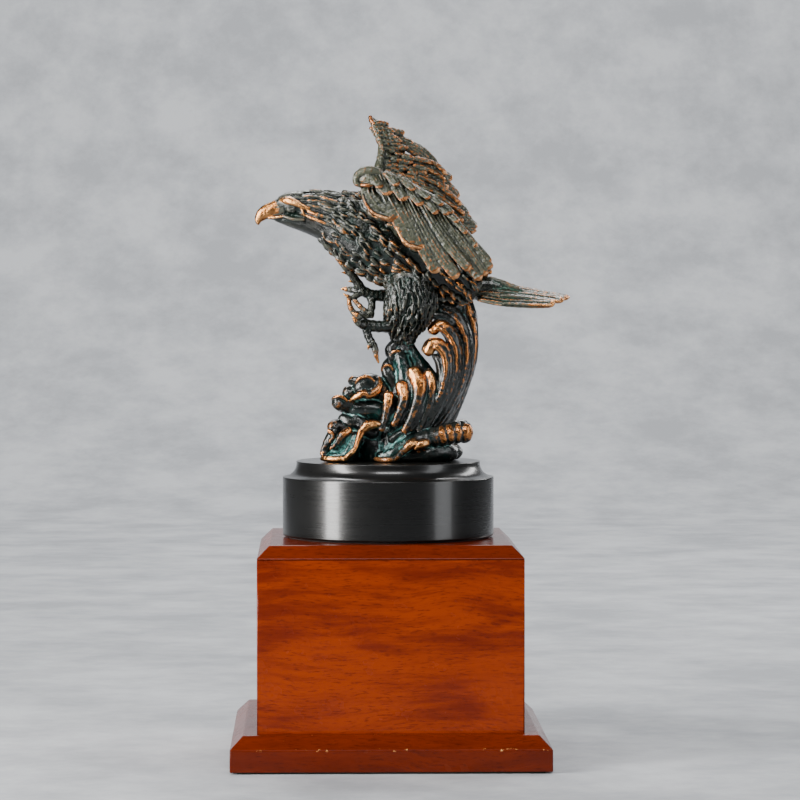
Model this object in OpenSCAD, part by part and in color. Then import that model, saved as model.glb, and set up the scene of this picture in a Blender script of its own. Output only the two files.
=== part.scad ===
// Eagle statuette on a round turned base and a square wooden pedestal.
// +X runs from the beak to the tail, -Y is the left side of the bird, +Z is up.
// The origin is the centre of the underside.

/* [Pedestal] */
// Side of the square wooden box
box_w = 150; // [130:5:180]
// Height of the box from the plinth to its flat top
box_h = 105; // [90:5:150]
// Thickness of the four box panels
panel_t = 12; // [9:1:16]
// Thickness of the top board, with its rebate
top_t = 15; // [12:1:20]
// Bevel round the top board
top_bevel = 7; // [4:0.5:8]
// How far the plinth stands out past the box on each side
plinth_lip = 15; // [8:1:30]
// Thickness of the plinth board
plinth_t = 20; // [16:1:30]
// Bevel round the plinth
plinth_bevel = 7.5; // [4:0.5:8]
// Thickness of the felt under the plinth
felt_t = 1; // [0.5:0.5:2]

/* [Round base] */
// Diameter of the turned base
base_d = 122.4; // [110:1:128]
// Height of the turned base
base_h = 43; // [30:1:60]
// Radius of the cove that narrows its top
cove_r = 8; // [4:0.5:10]
// Thickness of the felt disc below it
disc_t = 1; // [0.5:0.5:2]

/* [Figure] */
// Height of the figure from the round base to the wing tip
figure_h = 202; // [180:2:220]
// Diameter of the dowel pins between the castings
pin_d = 3; // [2:0.5:3.5]

/* [Fasteners] */
// Diameter of the draw rod that holds figure, base and box together
rod_d = 6; // [5:1:8]
// Diameter of the plinth screws
screw_d = 4; // [3:0.5:5]
// Length of the plinth screws
screw_l = 40; // [30:5:50]
// Clearance on the diameter of every hole
clear = 0.4; // [0.2:0.1:0.8]

/* [Hidden] */

// Levels from the table up
plinth_w = box_w + 2 * plinth_lip;
box_z = felt_t + plinth_t;
box_top = box_z + box_h;
cap_h = top_bevel + 1;
panel_h = box_h - cap_h;
base_z = box_top + disc_t;
fig_z = base_z + base_h;
board_z = box_top - top_t;

// Pedestal joinery
inner_w = box_w - 2 * panel_t;
rebate_gap = 0.2;
block_w = 18;
block_h = box_h - top_t - 6;
felt_in = 4;
screw_at = inner_w / 2 - block_w / 2;
head_d = 2 * screw_d;
head_h = 0.55 * screw_d;

// Draw rod and what it passes
insert_d = rod_d + 3;
insert_h = 15;
washer_d = 3 * rod_d;
washer_t = 1.6;
nut_af = rod_d * 10 / 6;
nut_h = 0.83 * rod_d;
rod_tail = 4;
rod_low = board_z - washer_t - nut_h - rod_tail;
rod_high = fig_z + insert_h - 1;
rod_hole = rod_d + clear;

// Round base lip above the cove
lip_h = 1;

// The figure is laid out for a height of 202 above the round base
fig_k = figure_h / 202;
pin_hole = pin_d + clear;
soft = 14;
fine = 9;

// Castings of the figure, each bead as centre and radius or three radii
spine = [
    [-74.2, 0, 140, 1], [-73, 0, 144.5, 2.2], [-69.5, 0, 147, 3.2],
    [-63.5, 0, 148, 3, 3.8, 4.8], [-58, 0, 148.5, 5, 6.2, 7],
    [-49, 0, 147.4, 7, 8.2, 9], [-38, 0, 144.6, 8, 11, 12.4],
    [-27, 0, 139, 9, 15, 18], [-14, 0, 133.4, 10, 19, 23.4],
    [2, 0, 127.6, 12, 22, 25.4], [18, 0, 120.4, 12, 22, 25],
    [34, 0, 110.6, 12, 18, 20.4], [48, 0, 102, 9, 12, 12.6]
];
thighs = [
    [[12, -9, 101, 14], [13, -9, 91, 14.5], [11.5, -6, 80, 10.5], [9.4, -3, 72, 5.6]],
    [[15, 9, 99, 14], [14, 9, 89, 12.5], [12, 6, 80, 9.5], [9.4, -1, 73, 5.4]]
];

// Feathers of the near wing: root, then tip, each a centre and a half width
left_vanes = [
    [[-12, -23, 155, 5], [-1, -27, 141, 5.5]],
    [[-8, -24, 156, 6], [17.5, -33, 124.5, 5.5]],
    [[-2, -25, 156, 6], [23.5, -36, 118.5, 4.2]],
    [[4, -25, 154, 6], [31, -37, 110.5, 3.8]],
    [[11, -25, 151, 6], [38, -36.5, 110.5, 3.8]],
    [[18, -24, 147, 6], [44.5, -35, 109.5, 3.8]],
    [[25, -23, 142, 6], [51.5, -32.5, 109, 3.8]],
    [[31, -22, 137, 6], [58, -29, 107.5, 3.6]]
];
left_arm = [[-15.4, -21, 163, 6.2], [-3, -21, 157, 6], [12, -19, 150, 6.5],
    [27, -16, 140, 6], [38, -12, 128, 5]];
left_root = [[2, -20, 141, 9, 5, 9], [12, -20, 134, 9, 5, 9]];

// Feathers of the raised wing, from the leading edge to the trailing outline
right_vanes = [
    [[-8.4, 39, 200.2, 2], [0.6, 40, 196.6, 2]],
    [[-7, 38, 194, 2.2], [10.6, 41, 189.6, 2.2]],
    [[-5.4, 36, 187, 2.4], [20.6, 41, 181.2, 2.6]],
    [[-4, 34, 180, 2.6], [34.6, 41, 167.4, 3]],
    [[-3, 31, 173, 3], [42.6, 38, 153.6, 3.2]],
    [[-3, 28, 166, 3.2], [50.6, 34, 138, 3.2]],
    [[-3, 23, 158, 3.6], [46, 30, 133.4, 3.2]],
    [[0, 19, 150, 4], [36, 24, 126, 4]]
];
right_arm = [[-8.4, 39, 199.6, 2], [-5.4, 34, 186, 3], [-3, 27, 170, 4.4],
    [-1, 18, 154, 6], [14, 17, 140, 8], [26, 16, 128, 7]];

// Tail feathers fan out from the root
tail_tips = [for (i = [-3:3]) [104 - 0.8 * i * i, 6 * i, 95.6 - 0.5 * i * i, 1.9]];
tail_bellies = [for (t = tail_tips) [t[0] - 22, 0.8 * t[1], t[2] + 1.4, 5, 3.6, 3.6]];
tail_roots = [for (i = [-3:3]) [56, 2.1 * i, 100.4 - 0.5 * i * i, 5.6]];

// Legs and toes as tapering runs of beads
left_foot_runs = [
    [[2, -9, 80, 4.2], [-7, -10, 78.6, 3.8], [-13, -10, 78, 4]],
    [[-13, -10, 78, 3.8], [-17.5, -11, 84, 2.6], [-21, -12, 89, 2], [-22.6, -12, 94, 1]],
    [[-13, -10, 78, 3.4], [-15.5, -15, 80, 2.4], [-20, -17, 82, 1.8], [-24, -17, 80, 0.9]],
    [[-13, -10, 78, 3.6], [-12, -11, 70, 2.8], [-8, -12.5, 66, 2.6],
        [-6.6, -13, 60.5, 1.9], [-5.4, -13, 57.2, 0.8]]
];
right_foot_runs = [
    [[2, 7, 95, 4], [-6, 5, 95.4, 3.8], [-12, 3, 97.6, 3.8]],
    [[-12, 3, 97.6, 3.6], [-19, 1, 104, 2.6], [-23.6, -1, 111, 2], [-29.2, -2, 117, 0.9]],
    [[-12, 3, 97.6, 3], [-18, 4, 98.8, 1.9], [-26.6, 5, 99.2, 0.8]],
    [[-12, 3, 97.6, 3], [-14, 9, 99, 2], [-20, 12, 97, 1.6], [-24.4, 12, 94, 0.8]],
    [[-12, 3, 97.6, 3], [-10, 1, 90, 2.2], [-14.6, 0, 86.6, 1.8],
        [-21, 0, 93.4, 1.4], [-25.4, 0, 96.6, 0.8]]
];

// Wave: a rising trunk, the column under the thigh, crests, scoops and a roll
trunk = [
    [16, 0, 2, 24, 24, 3], [19, 0, 16, 18, 18, 8], [28, 0, 32, 14, 16, 10],
    [36, 0, 48, 12.8, 15, 10], [41.4, 0, 64, 11, 14, 10], [42, 0, 78, 10.6, 13, 8],
    [41, 0, 90, 10.8, 12, 8]
];
column = [
    [4, -1, 30, 15, 14, 10], [7, -1, 44, 12, 11, 8], [8, -2, 58, 8, 8, 8],
    [8.4, -2, 66, 5.8, 6, 6], [9, -2.5, 74, 5.6, 5.6, 3]
];
foot_bed = [[-22, -4, 1, 18, 22, 4], [0, -2, 1, 24, 26, 5], [20, 0, 1, 20, 24, 5]];
wave_runs = [
    [[40, -10, 58, 5], [38, -11, 74, 5], [33, -12, 79, 4], [27.6, -12, 77, 3]],
    [[38, -13, 50, 4.6], [36, -14, 64, 4], [30, -14, 69.6, 3.6], [25.4, -14, 66.6, 3.2],
        [22, -14, 63, 2.4]],
    [[38, 12, 50, 4.6], [36, 13, 66, 4], [29, 13, 72, 3.4], [24, 13, 68, 2.4]],
    [[2, -6, 66, 3.6], [-2.4, -7, 54, 3.8]],
    [[18, -15, 18, 6], [19, -15, 36, 5], [24, -14, 50, 3]],
    [[12, -17, 18, 7], [16, -16, 36, 6], [16, -14, 50, 5]],
    [[5, -18, 14, 6], [7, -17, 30, 5], [7.4, -15, 43, 4]],
    [[-3, -18, 12, 5], [-2, -17, 28, 4], [-0.4, -15, 38, 3.4]],
    [[-6, -4, 18, 13], [-12, -5, 34, 9], [-11.6, -6, 43.6, 8]],
    [[-16, -4, 22, 9], [-22, -4, 35, 7], [-20.4, 4, 44, 4.4]],
    [[-20, -6, 22, 8], [-28.2, -8, 33.6, 5]],
    [[-22, 6, 10, 11], [-30.6, 0, 18, 5.6], [-33, -10, 15, 4.6], [-36, -14, 9, 4]],
    [[-37.6, -16, 3, 3], [-28, -24, 3, 3], [-20, -25, 8, 3], [-15, -22, 17, 3.2],
        [-7, -18, 21.6, 3]],
    [[-30, -14, 4, 6], [-22, -14, 12, 6]],
    [[-5.6, -26, 2.6, 2.6], [3, -26, 3, 2.8], [9, -24, 8.6, 3.2], [14, -22, 11.6, 3.6]],
    [[14, -20, 8, 5], [20, -19, 11, 5.4], [30, -17, 14.6, 5.6], [39, -15, 17, 5.6],
        [43, -14, 16.8, 5.5]],
    [[22, -14, 4, 6], [34, -10, 6, 6]],
    [[-20, 12, 6, 9], [0, 18, 8, 9], [24, 16, 8, 8], [36, 10, 8, 6]],
    [[6, 10, 10, 10], [12, 14, 28, 7], [18, 13, 46, 4]]
];

// Dowel pins, each by its middle, direction and length
left_wing_at = [[6, -20, 138], [90, 0, 0], 14];
right_wing_at = [[18, 20, 134], [90, 0, 0], 14];
tail_at = [[57, 0, 101], [0, 90, 0], 14];
left_foot_at = [[-1, -9, 79.6], [0, 90, 0], 10];
right_foot_at = [[-1, 6.6, 95.2], [0, 90, 0], 10];
thigh_at = [[9.2, -2.4, 69], [0, 0, 0], 14];
rump_at = [[42, 0, 88], [0, 0, 0], 16];

wood = "saddlebrown";
bronze = "darkslategray";
steel = "silver";

// Places its children on the round base at the figure's scale
module figure() {
    translate([0, 0, fig_z]) scale(fig_k) children();
}

module bead(b, sides) {
    translate([b[0], b[1], b[2]])
        scale([b[3], len(b) > 4 ? b[4] : b[3], len(b) > 5 ? b[5] : b[3]])
            sphere(1, $fn = sides);
}

module run(beads, sides) {
    for (i = [0:len(beads) - 2])
        hull() {
            bead(beads[i], sides);
            bead(beads[i + 1], sides);
        }
}

// A flat feather between two beads, thin along Y
module vane(root, tip, thick) {
    hull() {
        bead([root[0], root[1], root[2], root[3], thick, root[3]], fine);
        bead([tip[0], tip[1], tip[2], tip[3], 0.75 * thick, tip[3]], fine);
    }
}

// Webs between neighbouring feathers, so that a wing is one casting
module wing_sheet(vanes, thick) {
    for (v = vanes) vane(v[0], v[1], thick);
    for (i = [0:len(vanes) - 2])
        hull()
            for (v = [vanes[i], vanes[i + 1]]) {
                inner = 0.82 * v[1] + 0.18 * v[0];
                bead([v[0][0], v[0][1], v[0][2], v[0][3] * 0.6, thick * 0.8, v[0][3] * 0.6], fine);
                bead([inner[0], inner[1], inner[2], 2, thick * 0.6, 2], fine);
            }
}

// A dowel of diameter d; holes for it are made with the same call
module dowel(at, d, extra = 0) {
    translate([0, 0, fig_z] + fig_k * at[0])
        rotate(at[1])
            cylinder(h = at[2] + extra, d = d, center = true, $fn = 24);
}

module dowel_hole(at) {
    dowel(at, pin_hole, clear);
}

module body_form() {
    figure() {
        run(spine, soft);
        for (t = thighs) run(t, soft);
    }
}

module eagle_body() {
    color(bronze) difference() {
        body_form();
        for (at = [left_wing_at, right_wing_at, tail_at, left_foot_at, right_foot_at,
                thigh_at, rump_at])
            dowel_hole(at);
    }
}

module left_wing() {
    color("darkolivegreen") difference() {
        figure() {
            run(left_arm, fine);
            wing_sheet(left_vanes, 3);
            run(left_root, fine);
        }
        body_form();
        dowel_hole(left_wing_at);
    }
}

module right_wing() {
    color("darkolivegreen") difference() {
        figure() {
            wing_sheet(right_vanes, 2.8);
            run(right_arm, fine);
        }
        body_form();
        dowel_hole(right_wing_at);
    }
}

module tail() {
    color(bronze) difference() {
        figure()
            for (i = [0:len(tail_tips) - 1])
                run([tail_roots[i], tail_bellies[i], tail_tips[i]], fine);
        body_form();
        dowel_hole(tail_at);
    }
}

module left_foot() {
    color(bronze) difference() {
        figure() for (r = left_foot_runs) run(r, fine);
        body_form();
        dowel_hole(left_foot_at);
    }
}

module right_foot() {
    color(bronze) difference() {
        figure() for (r = right_foot_runs) run(r, fine);
        body_form();
        dowel_hole(right_foot_at);
    }
}

module wave() {
    color(bronze) difference() {
        figure() {
            run(trunk, soft);
            run(column, soft);
            run(foot_bed, soft);
            for (r = wave_runs) run(r, fine);
        }
        body_form();
        translate([0, 0, fig_z - 30]) cube([200, 200, 60], center = true);
        translate([0, 0, fig_z - 1]) cylinder(h = insert_h + 2, d = insert_d, $fn = 32);
        dowel_hole(thigh_at);
        dowel_hole(rump_at);
    }
}

module left_wing_pin() color(steel) dowel(left_wing_at, pin_d);
module right_wing_pin() color(steel) dowel(right_wing_at, pin_d);
module tail_pin() color(steel) dowel(tail_at, pin_d);
module left_foot_pin() color(steel) dowel(left_foot_at, pin_d);
module right_foot_pin() color(steel) dowel(right_foot_at, pin_d);
module thigh_pin() color(steel) dowel(thigh_at, pin_d);
module rump_pin() color(steel) dowel(rump_at, pin_d);

module threaded_insert() {
    color("goldenrod")
        translate([0, 0, fig_z])
            difference() {
                cylinder(h = insert_h, d = insert_d - 0.1, $fn = 48);
                translate([0, 0, -1]) cylinder(h = insert_h, d = rod_d + 0.1, $fn = 48);
            }
}

module draw_rod() {
    color(steel)
        translate([0, 0, rod_low]) cylinder(h = rod_high - rod_low, d = rod_d, $fn = 48);
}

module rod_washer() {
    color(steel)
        translate([0, 0, board_z - washer_t])
            difference() {
                cylinder(h = washer_t, d = washer_d, $fn = 48);
                translate([0, 0, -1]) cylinder(h = washer_t + 2, d = rod_hole, $fn = 48);
            }
}

module rod_nut() {
    color(steel)
        translate([0, 0, board_z - washer_t - nut_h])
            difference() {
                cylinder(h = nut_h, d = nut_af / cos(30), $fn = 6);
                translate([0, 0, -1]) cylinder(h = nut_h + 2, d = rod_d + 0.1, $fn = 48);
            }
}

module round_base() {
    r = base_d / 2;
    color("black")
        translate([0, 0, base_z])
            difference() {
                cylinder(h = base_h, r = r, $fn = 96);
                translate([0, 0, base_h - lip_h])
                    rotate_extrude($fn = 96)
                        translate([r, 0]) circle(cove_r, $fn = 64);
                translate([0, 0, base_h - lip_h])
                    difference() {
                        cylinder(h = lip_h + 1, r = r + 1, $fn = 96);
                        translate([0, 0, -1]) cylinder(h = lip_h + 3, r = r - cove_r, $fn = 96);
                    }
                translate([0, 0, -1]) cylinder(h = base_h + 2, d = rod_hole, $fn = 48);
            }
}

module base_felt() {
    color("darkgreen")
        translate([0, 0, box_top])
            difference() {
                cylinder(h = disc_t, d = base_d - 6, $fn = 96);
                translate([0, 0, -1]) cylinder(h = disc_t + 2, d = rod_hole, $fn = 48);
            }
}

// A square board with its top edge bevelled on all four sides
module bevelled_board(w, h, bevel) {
    module ridge()
        rotate([90, 0, 0])
            linear_extrude(w, center = true)
                polygon([[-w / 2, 0], [w / 2, 0], [w / 2, h - bevel], [w / 2 - bevel, h],
                    [bevel - w / 2, h], [-w / 2, h - bevel]]);
    intersection() {
        ridge();
        rotate([0, 0, 90]) ridge();
    }
}

module top_board() {
    tongue_w = inner_w - 2 * rebate_gap;
    color(wood)
        difference() {
            union() {
                translate([0, 0, box_top - cap_h]) bevelled_board(box_w, cap_h, top_bevel);
                translate([-tongue_w / 2, -tongue_w / 2, board_z])
                    cube([tongue_w, tongue_w, top_t - 1]);
            }
            translate([0, 0, board_z - 1]) cylinder(h = top_t + 2, d = rod_hole, $fn = 48);
        }
}

// One side of the box, mitred at both ends, turned to face the given way
module panel(turn) {
    color(wood)
        rotate([0, 0, turn])
            translate([0, 0, box_z])
                linear_extrude(panel_h)
                    polygon([[-box_w / 2, -box_w / 2], [box_w / 2, -box_w / 2],
                        [inner_w / 2, -inner_w / 2], [-inner_w / 2, -inner_w / 2]]);
}

module front_panel() panel(0);
module right_panel() panel(90);
module back_panel() panel(180);
module left_panel() panel(270);

module screw_places() {
    for (x = [-1, 1], y = [-1, 1])
        translate([x * screw_at, y * screw_at, felt_t]) children();
}

// A countersunk wood screw, head down; grow makes its clearance hole
module wood_screw(grow = 0) {
    shank_d = screw_d + grow;
    cylinder(h = head_h, d1 = head_d + grow, d2 = shank_d, $fn = 48);
    cylinder(h = screw_l + grow - screw_d, d = shank_d, $fn = 48);
    translate([0, 0, screw_l + grow - screw_d])
        cylinder(h = screw_d, d1 = shank_d, d2 = 0.6, $fn = 48);
}

// Glue block in one corner of the box, under the top board
module corner_block(i) {
    turn = 90 * (i - 1);
    color("burlywood")
        difference() {
            rotate([0, 0, turn])
                translate([-inner_w / 2, -inner_w / 2, box_z])
                    cube([block_w, block_w, block_h]);
            screw_places() wood_screw(clear);
        }
}

module plinth() {
    color(wood)
        difference() {
            translate([0, 0, felt_t]) bevelled_board(plinth_w, plinth_t, plinth_bevel);
            screw_places() {
                wood_screw(clear);
                translate([0, 0, -1]) cylinder(h = 1.01, d = head_d + clear, $fn = 48);
            }
        }
}

module plinth_screws() {
    color(steel) screw_places() wood_screw();
}

module felt_sheet() {
    w = plinth_w - 2 * felt_in;
    color("darkgreen") translate([-w / 2, -w / 2, 0]) cube([w, w, felt_t]);
}

eagle_body();
left_wing();
right_wing();
tail();
left_foot();
right_foot();
wave();
left_wing_pin();
right_wing_pin();
tail_pin();
left_foot_pin();
right_foot_pin();
thigh_pin();
rump_pin();
threaded_insert();
draw_rod();
rod_washer();
rod_nut();
round_base();
base_felt();
top_board();
front_panel();
back_panel();
left_panel();
right_panel();
for (i = [1:4])
    corner_block(i);
plinth();
plinth_screws();
felt_sheet();
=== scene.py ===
import bpy, bmesh, math, random
import numpy as np
from mathutils import Matrix, Vector, kdtree, noise


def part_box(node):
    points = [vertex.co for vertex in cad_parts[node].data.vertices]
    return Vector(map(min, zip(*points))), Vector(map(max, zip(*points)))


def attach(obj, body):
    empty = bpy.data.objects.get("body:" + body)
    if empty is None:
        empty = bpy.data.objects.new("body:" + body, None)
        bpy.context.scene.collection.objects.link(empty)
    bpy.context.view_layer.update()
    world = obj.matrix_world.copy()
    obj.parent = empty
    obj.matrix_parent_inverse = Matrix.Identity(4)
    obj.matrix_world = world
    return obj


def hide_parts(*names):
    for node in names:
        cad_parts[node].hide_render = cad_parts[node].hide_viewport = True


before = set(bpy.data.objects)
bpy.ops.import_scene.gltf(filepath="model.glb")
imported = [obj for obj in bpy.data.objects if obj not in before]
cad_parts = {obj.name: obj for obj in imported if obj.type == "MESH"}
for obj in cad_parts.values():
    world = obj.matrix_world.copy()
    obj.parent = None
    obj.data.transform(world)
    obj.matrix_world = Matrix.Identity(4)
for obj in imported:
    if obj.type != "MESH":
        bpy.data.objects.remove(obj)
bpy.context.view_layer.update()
mm = 0.001
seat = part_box("round_base")[1][2]  # top of the round base, where the figure stands
quarter = math.pi / 2


# small helpers
def at(x, y, z):
    return Vector((x * mm, y * mm, seat + z * mm))  # millimetres above the round base


def picked(out, kind):
    return [g for g in out["geom"] if isinstance(g, kind)]


def takeMesh(bm, name):
    mesh = bpy.data.meshes.new(name)
    bm.to_mesh(mesh)
    bm.free()
    return mesh


def newPiece(name, bm, material, slotName=None, cadNode=None):
    bmesh.ops.remove_doubles(bm, verts=bm.verts, dist=1e-7)
    mesh = takeMesh(bm, name)
    mesh.shade_smooth()
    piece = bpy.data.objects.new(name, mesh)
    bpy.context.scene.collection.objects.link(piece)
    mesh.materials.append(material)
    if slotName:
        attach(piece, "root")
        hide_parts(cadNode)
    return piece


def smoothstep(low, high, value):
    t = min(1.0, max(0.0, (value - low) / (high - low)))
    return t * t * (3 - 2 * t)


def mix(a, b, t):
    return a + (b - a) * t


# shader helpers: each finds its node tree through the node or socket it is given
def newMaterial(name):
    material = bpy.data.materials.new(name)
    material.use_nodes = True
    material.node_tree.nodes.clear()
    output = material.node_tree.nodes.new("ShaderNodeOutputMaterial")
    shader = addNode(output, "BsdfPrincipled")
    feed(output, {"Surface": shader.outputs[0]})
    return material, shader


def addNode(near, kind):
    return near.id_data.nodes.new("ShaderNode" + kind)


def feed(node, values):
    # sockets are linked, and numbers and colours are set
    for name, value in values.items():
        if isinstance(value, bpy.types.NodeSocket):
            node.id_data.links.new(value, node.inputs[name])
        else:
            node.inputs[name].default_value = value


def mathNode(operation, *values):
    node = addNode(next(v for v in values if isinstance(v, bpy.types.NodeSocket)), "Math")
    node.operation = operation
    feed(node, dict(enumerate(values)))
    return node.outputs[0]


def plus(a, b):
    return mathNode("ADD", a, b)


def minus(a, b):
    return mathNode("SUBTRACT", a, b)


def times(a, b):
    return mathNode("MULTIPLY", a, b)


def swing(value, amount):
    return times(minus(value, 0.5), amount)


def noiseNode(vector, scale, detail=4, rough=0.6, distortion=0.0, output="Fac"):
    node = addNode(vector, "TexNoise")
    feed(node, {"Vector": vector, "Scale": scale, "Detail": detail, "Roughness": rough})
    feed(node, {"Distortion": distortion})
    return node.outputs[output]


def ramp(value, stops):
    node = addNode(value, "ValToRGB")
    while len(node.color_ramp.elements) < len(stops):
        node.color_ramp.elements.new(0.5)
    for element, (place, colour) in zip(node.color_ramp.elements, stops):
        element.position = place
        element.color = (*colour, 1)
    feed(node, {"Fac": value})
    return node.outputs["Color"]


def mixColour(amount, *colours):
    node = addNode(amount, "Mix")
    node.data_type = "RGBA"
    feed(node, {"Factor": amount})
    for i, colour in zip((6, 7), colours):
        feed(node, {i: (*colour, 1) if isinstance(colour, tuple) else colour})
    return node.outputs[2]


def placeNode(near, scale=(1, 1, 1), turn=(0, 0, 0), shift=(0, 0, 0)):
    coords = addNode(near, "TexCoord")
    mapping = addNode(near, "Mapping")
    feed(mapping, {"Vector": coords.outputs["Object"], "Scale": scale, "Rotation": turn, "Location": shift})
    return mapping.outputs["Vector"]


def spread(value, low, high):
    node = addNode(value, "MapRange")
    node.interpolation_type = "SMOOTHSTEP"
    feed(node, {"Value": value, "From Min": low, "From Max": high})
    return node.outputs["Result"]


def addBump(shader, height, distance, strength):
    bump = addNode(shader, "Bump")
    feed(bump, {"Height": height, "Distance": distance, "Strength": strength})
    feed(shader, {"Normal": bump.outputs["Normal"]})


# camera, floor, light
camera = {
    "place": (-0.0407, -1.9710, 0.2730),
    "lookAlong": (0.02411, 0.99912, -0.03439),
    "lens": 153, "sensor": 36, "farthest": 50,
}
studio = {
    "floorWidth": 2.4, "frontEdge": 3.2, "wallPlace": 2.9, "wallHeight": 3.0,
    "cornerRadius": 1.0, "cornerSteps": 24,
    "shades": [(0.38, (0.26, 0.27, 0.285)), (0.62, (0.37, 0.38, 0.395))],
    "worldColour": (0.8, 0.82, 0.86, 1), "worldStrength": 0.12,
}
lampHeight, middle = (0, 0, 0.50), (0, 0, 0.2)
white = (1, 1, 1)
# name, place, what it looks at, width, height, power, colour
lamps = [
    ("keyLamp", (-0.84, -0.44, 0.50), lampHeight, 0.26, 1.0, 33, (1, 0.985, 0.96)),
    ("fillLamp", (0.84, -0.50, 0.50), lampHeight, 0.34, 1.0, 5, (0.96, 0.98, 1)),
    ("frontLamp", (-0.02, -1.7, 1.8), middle, 1.1, 0.36, 34, white),
    ("topLamp", (0.1, 1.15, 1.75), middle, 1.4, 0.7, 17, white),
    ("rimLamp", (1.15, 0.95, 0.8), middle, 0.4, 0.9, 12, white),
    ("wallLamp", (0, 1.6, 2.7), (0, 2.9, 0.75), 2.2, 0.5, 132, white),
]


def hang(name, data, place, aim):
    holder = bpy.data.objects.new(name, data)
    holder.location = place
    holder.rotation_euler = Vector(aim).to_track_quat("-Z", "Y").to_euler()
    bpy.context.scene.collection.objects.link(holder)
    return holder


def makeCamera():
    data = bpy.data.cameras.new("camera")
    data.lens = camera["lens"]
    data.sensor_width = camera["sensor"]
    data.clip_end = camera["farthest"]
    bpy.context.scene.camera = hang("camera", data, camera["place"], camera["lookAlong"])


def makeLamp(name, place, target, width, height, power, colour):
    lamp = bpy.data.lights.new(name, "AREA")
    lamp.shape = "RECTANGLE"
    lamp.size = width
    lamp.size_y = height
    lamp.energy = power
    lamp.color = colour
    hang(name, lamp, place, Vector(target) - Vector(place))


def makeSweep():
    # floor, rounded corner and wall, pulled from one edge
    bm = bmesh.new()
    half, front, radius = studio["floorWidth"] / 2, studio["frontEdge"], studio["cornerRadius"]
    edges = [bm.edges.new([bm.verts.new((x, -front, 0)) for x in (-half, half)])]
    moves = [Vector((0, front + studio["wallPlace"] - radius, 0))]
    for i in range(studio["cornerSteps"]):
        a, b = (quarter * (i + k) / studio["cornerSteps"] for k in (0, 1))
        moves.append(Vector((0, radius * (math.sin(b) - math.sin(a)), radius * (math.cos(a) - math.cos(b)))))
    moves.append(Vector((0, 0, studio["wallHeight"])))
    for move in moves:
        out = bmesh.ops.extrude_edge_only(bm, edges=edges)
        verts = picked(out, bmesh.types.BMVert)
        bmesh.ops.translate(bm, verts=verts, vec=move)
        edges = [g for g in picked(out, bmesh.types.BMEdge) if all(v in verts for v in g.verts)]
    bmesh.ops.recalc_face_normals(bm, faces=bm.faces)
    material, shader = newMaterial("paleSweep")
    mottle = noiseNode(placeNode(shader), 9, 7, 0.68)
    feed(shader, {"Base Color": ramp(mottle, studio["shades"]), "Roughness": 0.9, "Specular IOR Level": 0.1})
    sweep = newPiece("sweep", bm, material)


def makeWorld():
    world = bpy.data.worlds.new("world")
    world.use_nodes = True
    background = world.node_tree.nodes["Background"]
    feed(background, {"Color": studio["worldColour"], "Strength": studio["worldStrength"]})
    bpy.context.scene.world = world


makeCamera()
makeSweep()
for lamp in lamps:
    makeLamp(*lamp)
makeWorld()
print("camera, sweep and lamps are in place")


# bronze finishes
# dark and mid are the ground colours: dark in the creases as painted shade, mid on the ridges as painted
# highlight; bright is polished copper, partly a painted highlight
bronzeLooks = {
    "figureBronze": {
        "dark": (0.002, 0.003, 0.002), "mid": (0.046, 0.048, 0.036), "hollow": (0.003, 0.012, 0.008),
        "powder": (0.008, 0.022, 0.016), "copper": (0.34, 0.130, 0.034), "bright": (0.86, 0.46, 0.17),
        "gloss": 0.19, "hollowAmount": 0.5, "patchy": 0.34, "relief": 0.00048,
    },
    "wingBronze": {
        "dark": (0.005, 0.006, 0.004), "mid": (0.050, 0.054, 0.034), "hollow": (0.006, 0.018, 0.012),
        "powder": (0.010, 0.024, 0.018), "copper": (0.24, 0.085, 0.026), "bright": (0.78, 0.42, 0.19),
        "gloss": 0.30, "hollowAmount": 0.6, "patchy": 0.36, "relief": 0.00050,
    },
    "tailBronze": {
        "dark": (0.006, 0.007, 0.005), "mid": (0.054, 0.058, 0.040), "hollow": (0.020, 0.060, 0.038),
        "powder": (0.035, 0.090, 0.058), "copper": (0.36, 0.135, 0.036), "bright": (0.86, 0.46, 0.18),
        "gloss": 0.26, "hollowAmount": 0.9, "patchy": 0.34, "relief": 0.00045,
    },
    "waveBronze": {
        "dark": (0.002, 0.003, 0.003), "mid": (0.010, 0.012, 0.010), "hollow": (0.003, 0.026, 0.022),
        "powder": (0.080, 0.215, 0.200), "copper": (0.36, 0.135, 0.036), "bright": (0.88, 0.50, 0.20),
        "gloss": 0.22, "hollowAmount": 0.85, "patchy": 0.26, "relief": 0.00032,
    },
}
# how worn the metal is where each finish starts and where it is complete; the same values carry painted
# shade, low in the creases, and painted highlight, high on the ridges
levelsOfWearAndShading = {
    "dusty": (0.14, 0.02), "sunk": (0.46, 0.16), "ground": (0.28, 0.62), "rubbed": (0.66, 0.84),
    "polishedAndSheen": (0.88, 1.25),
}


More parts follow.
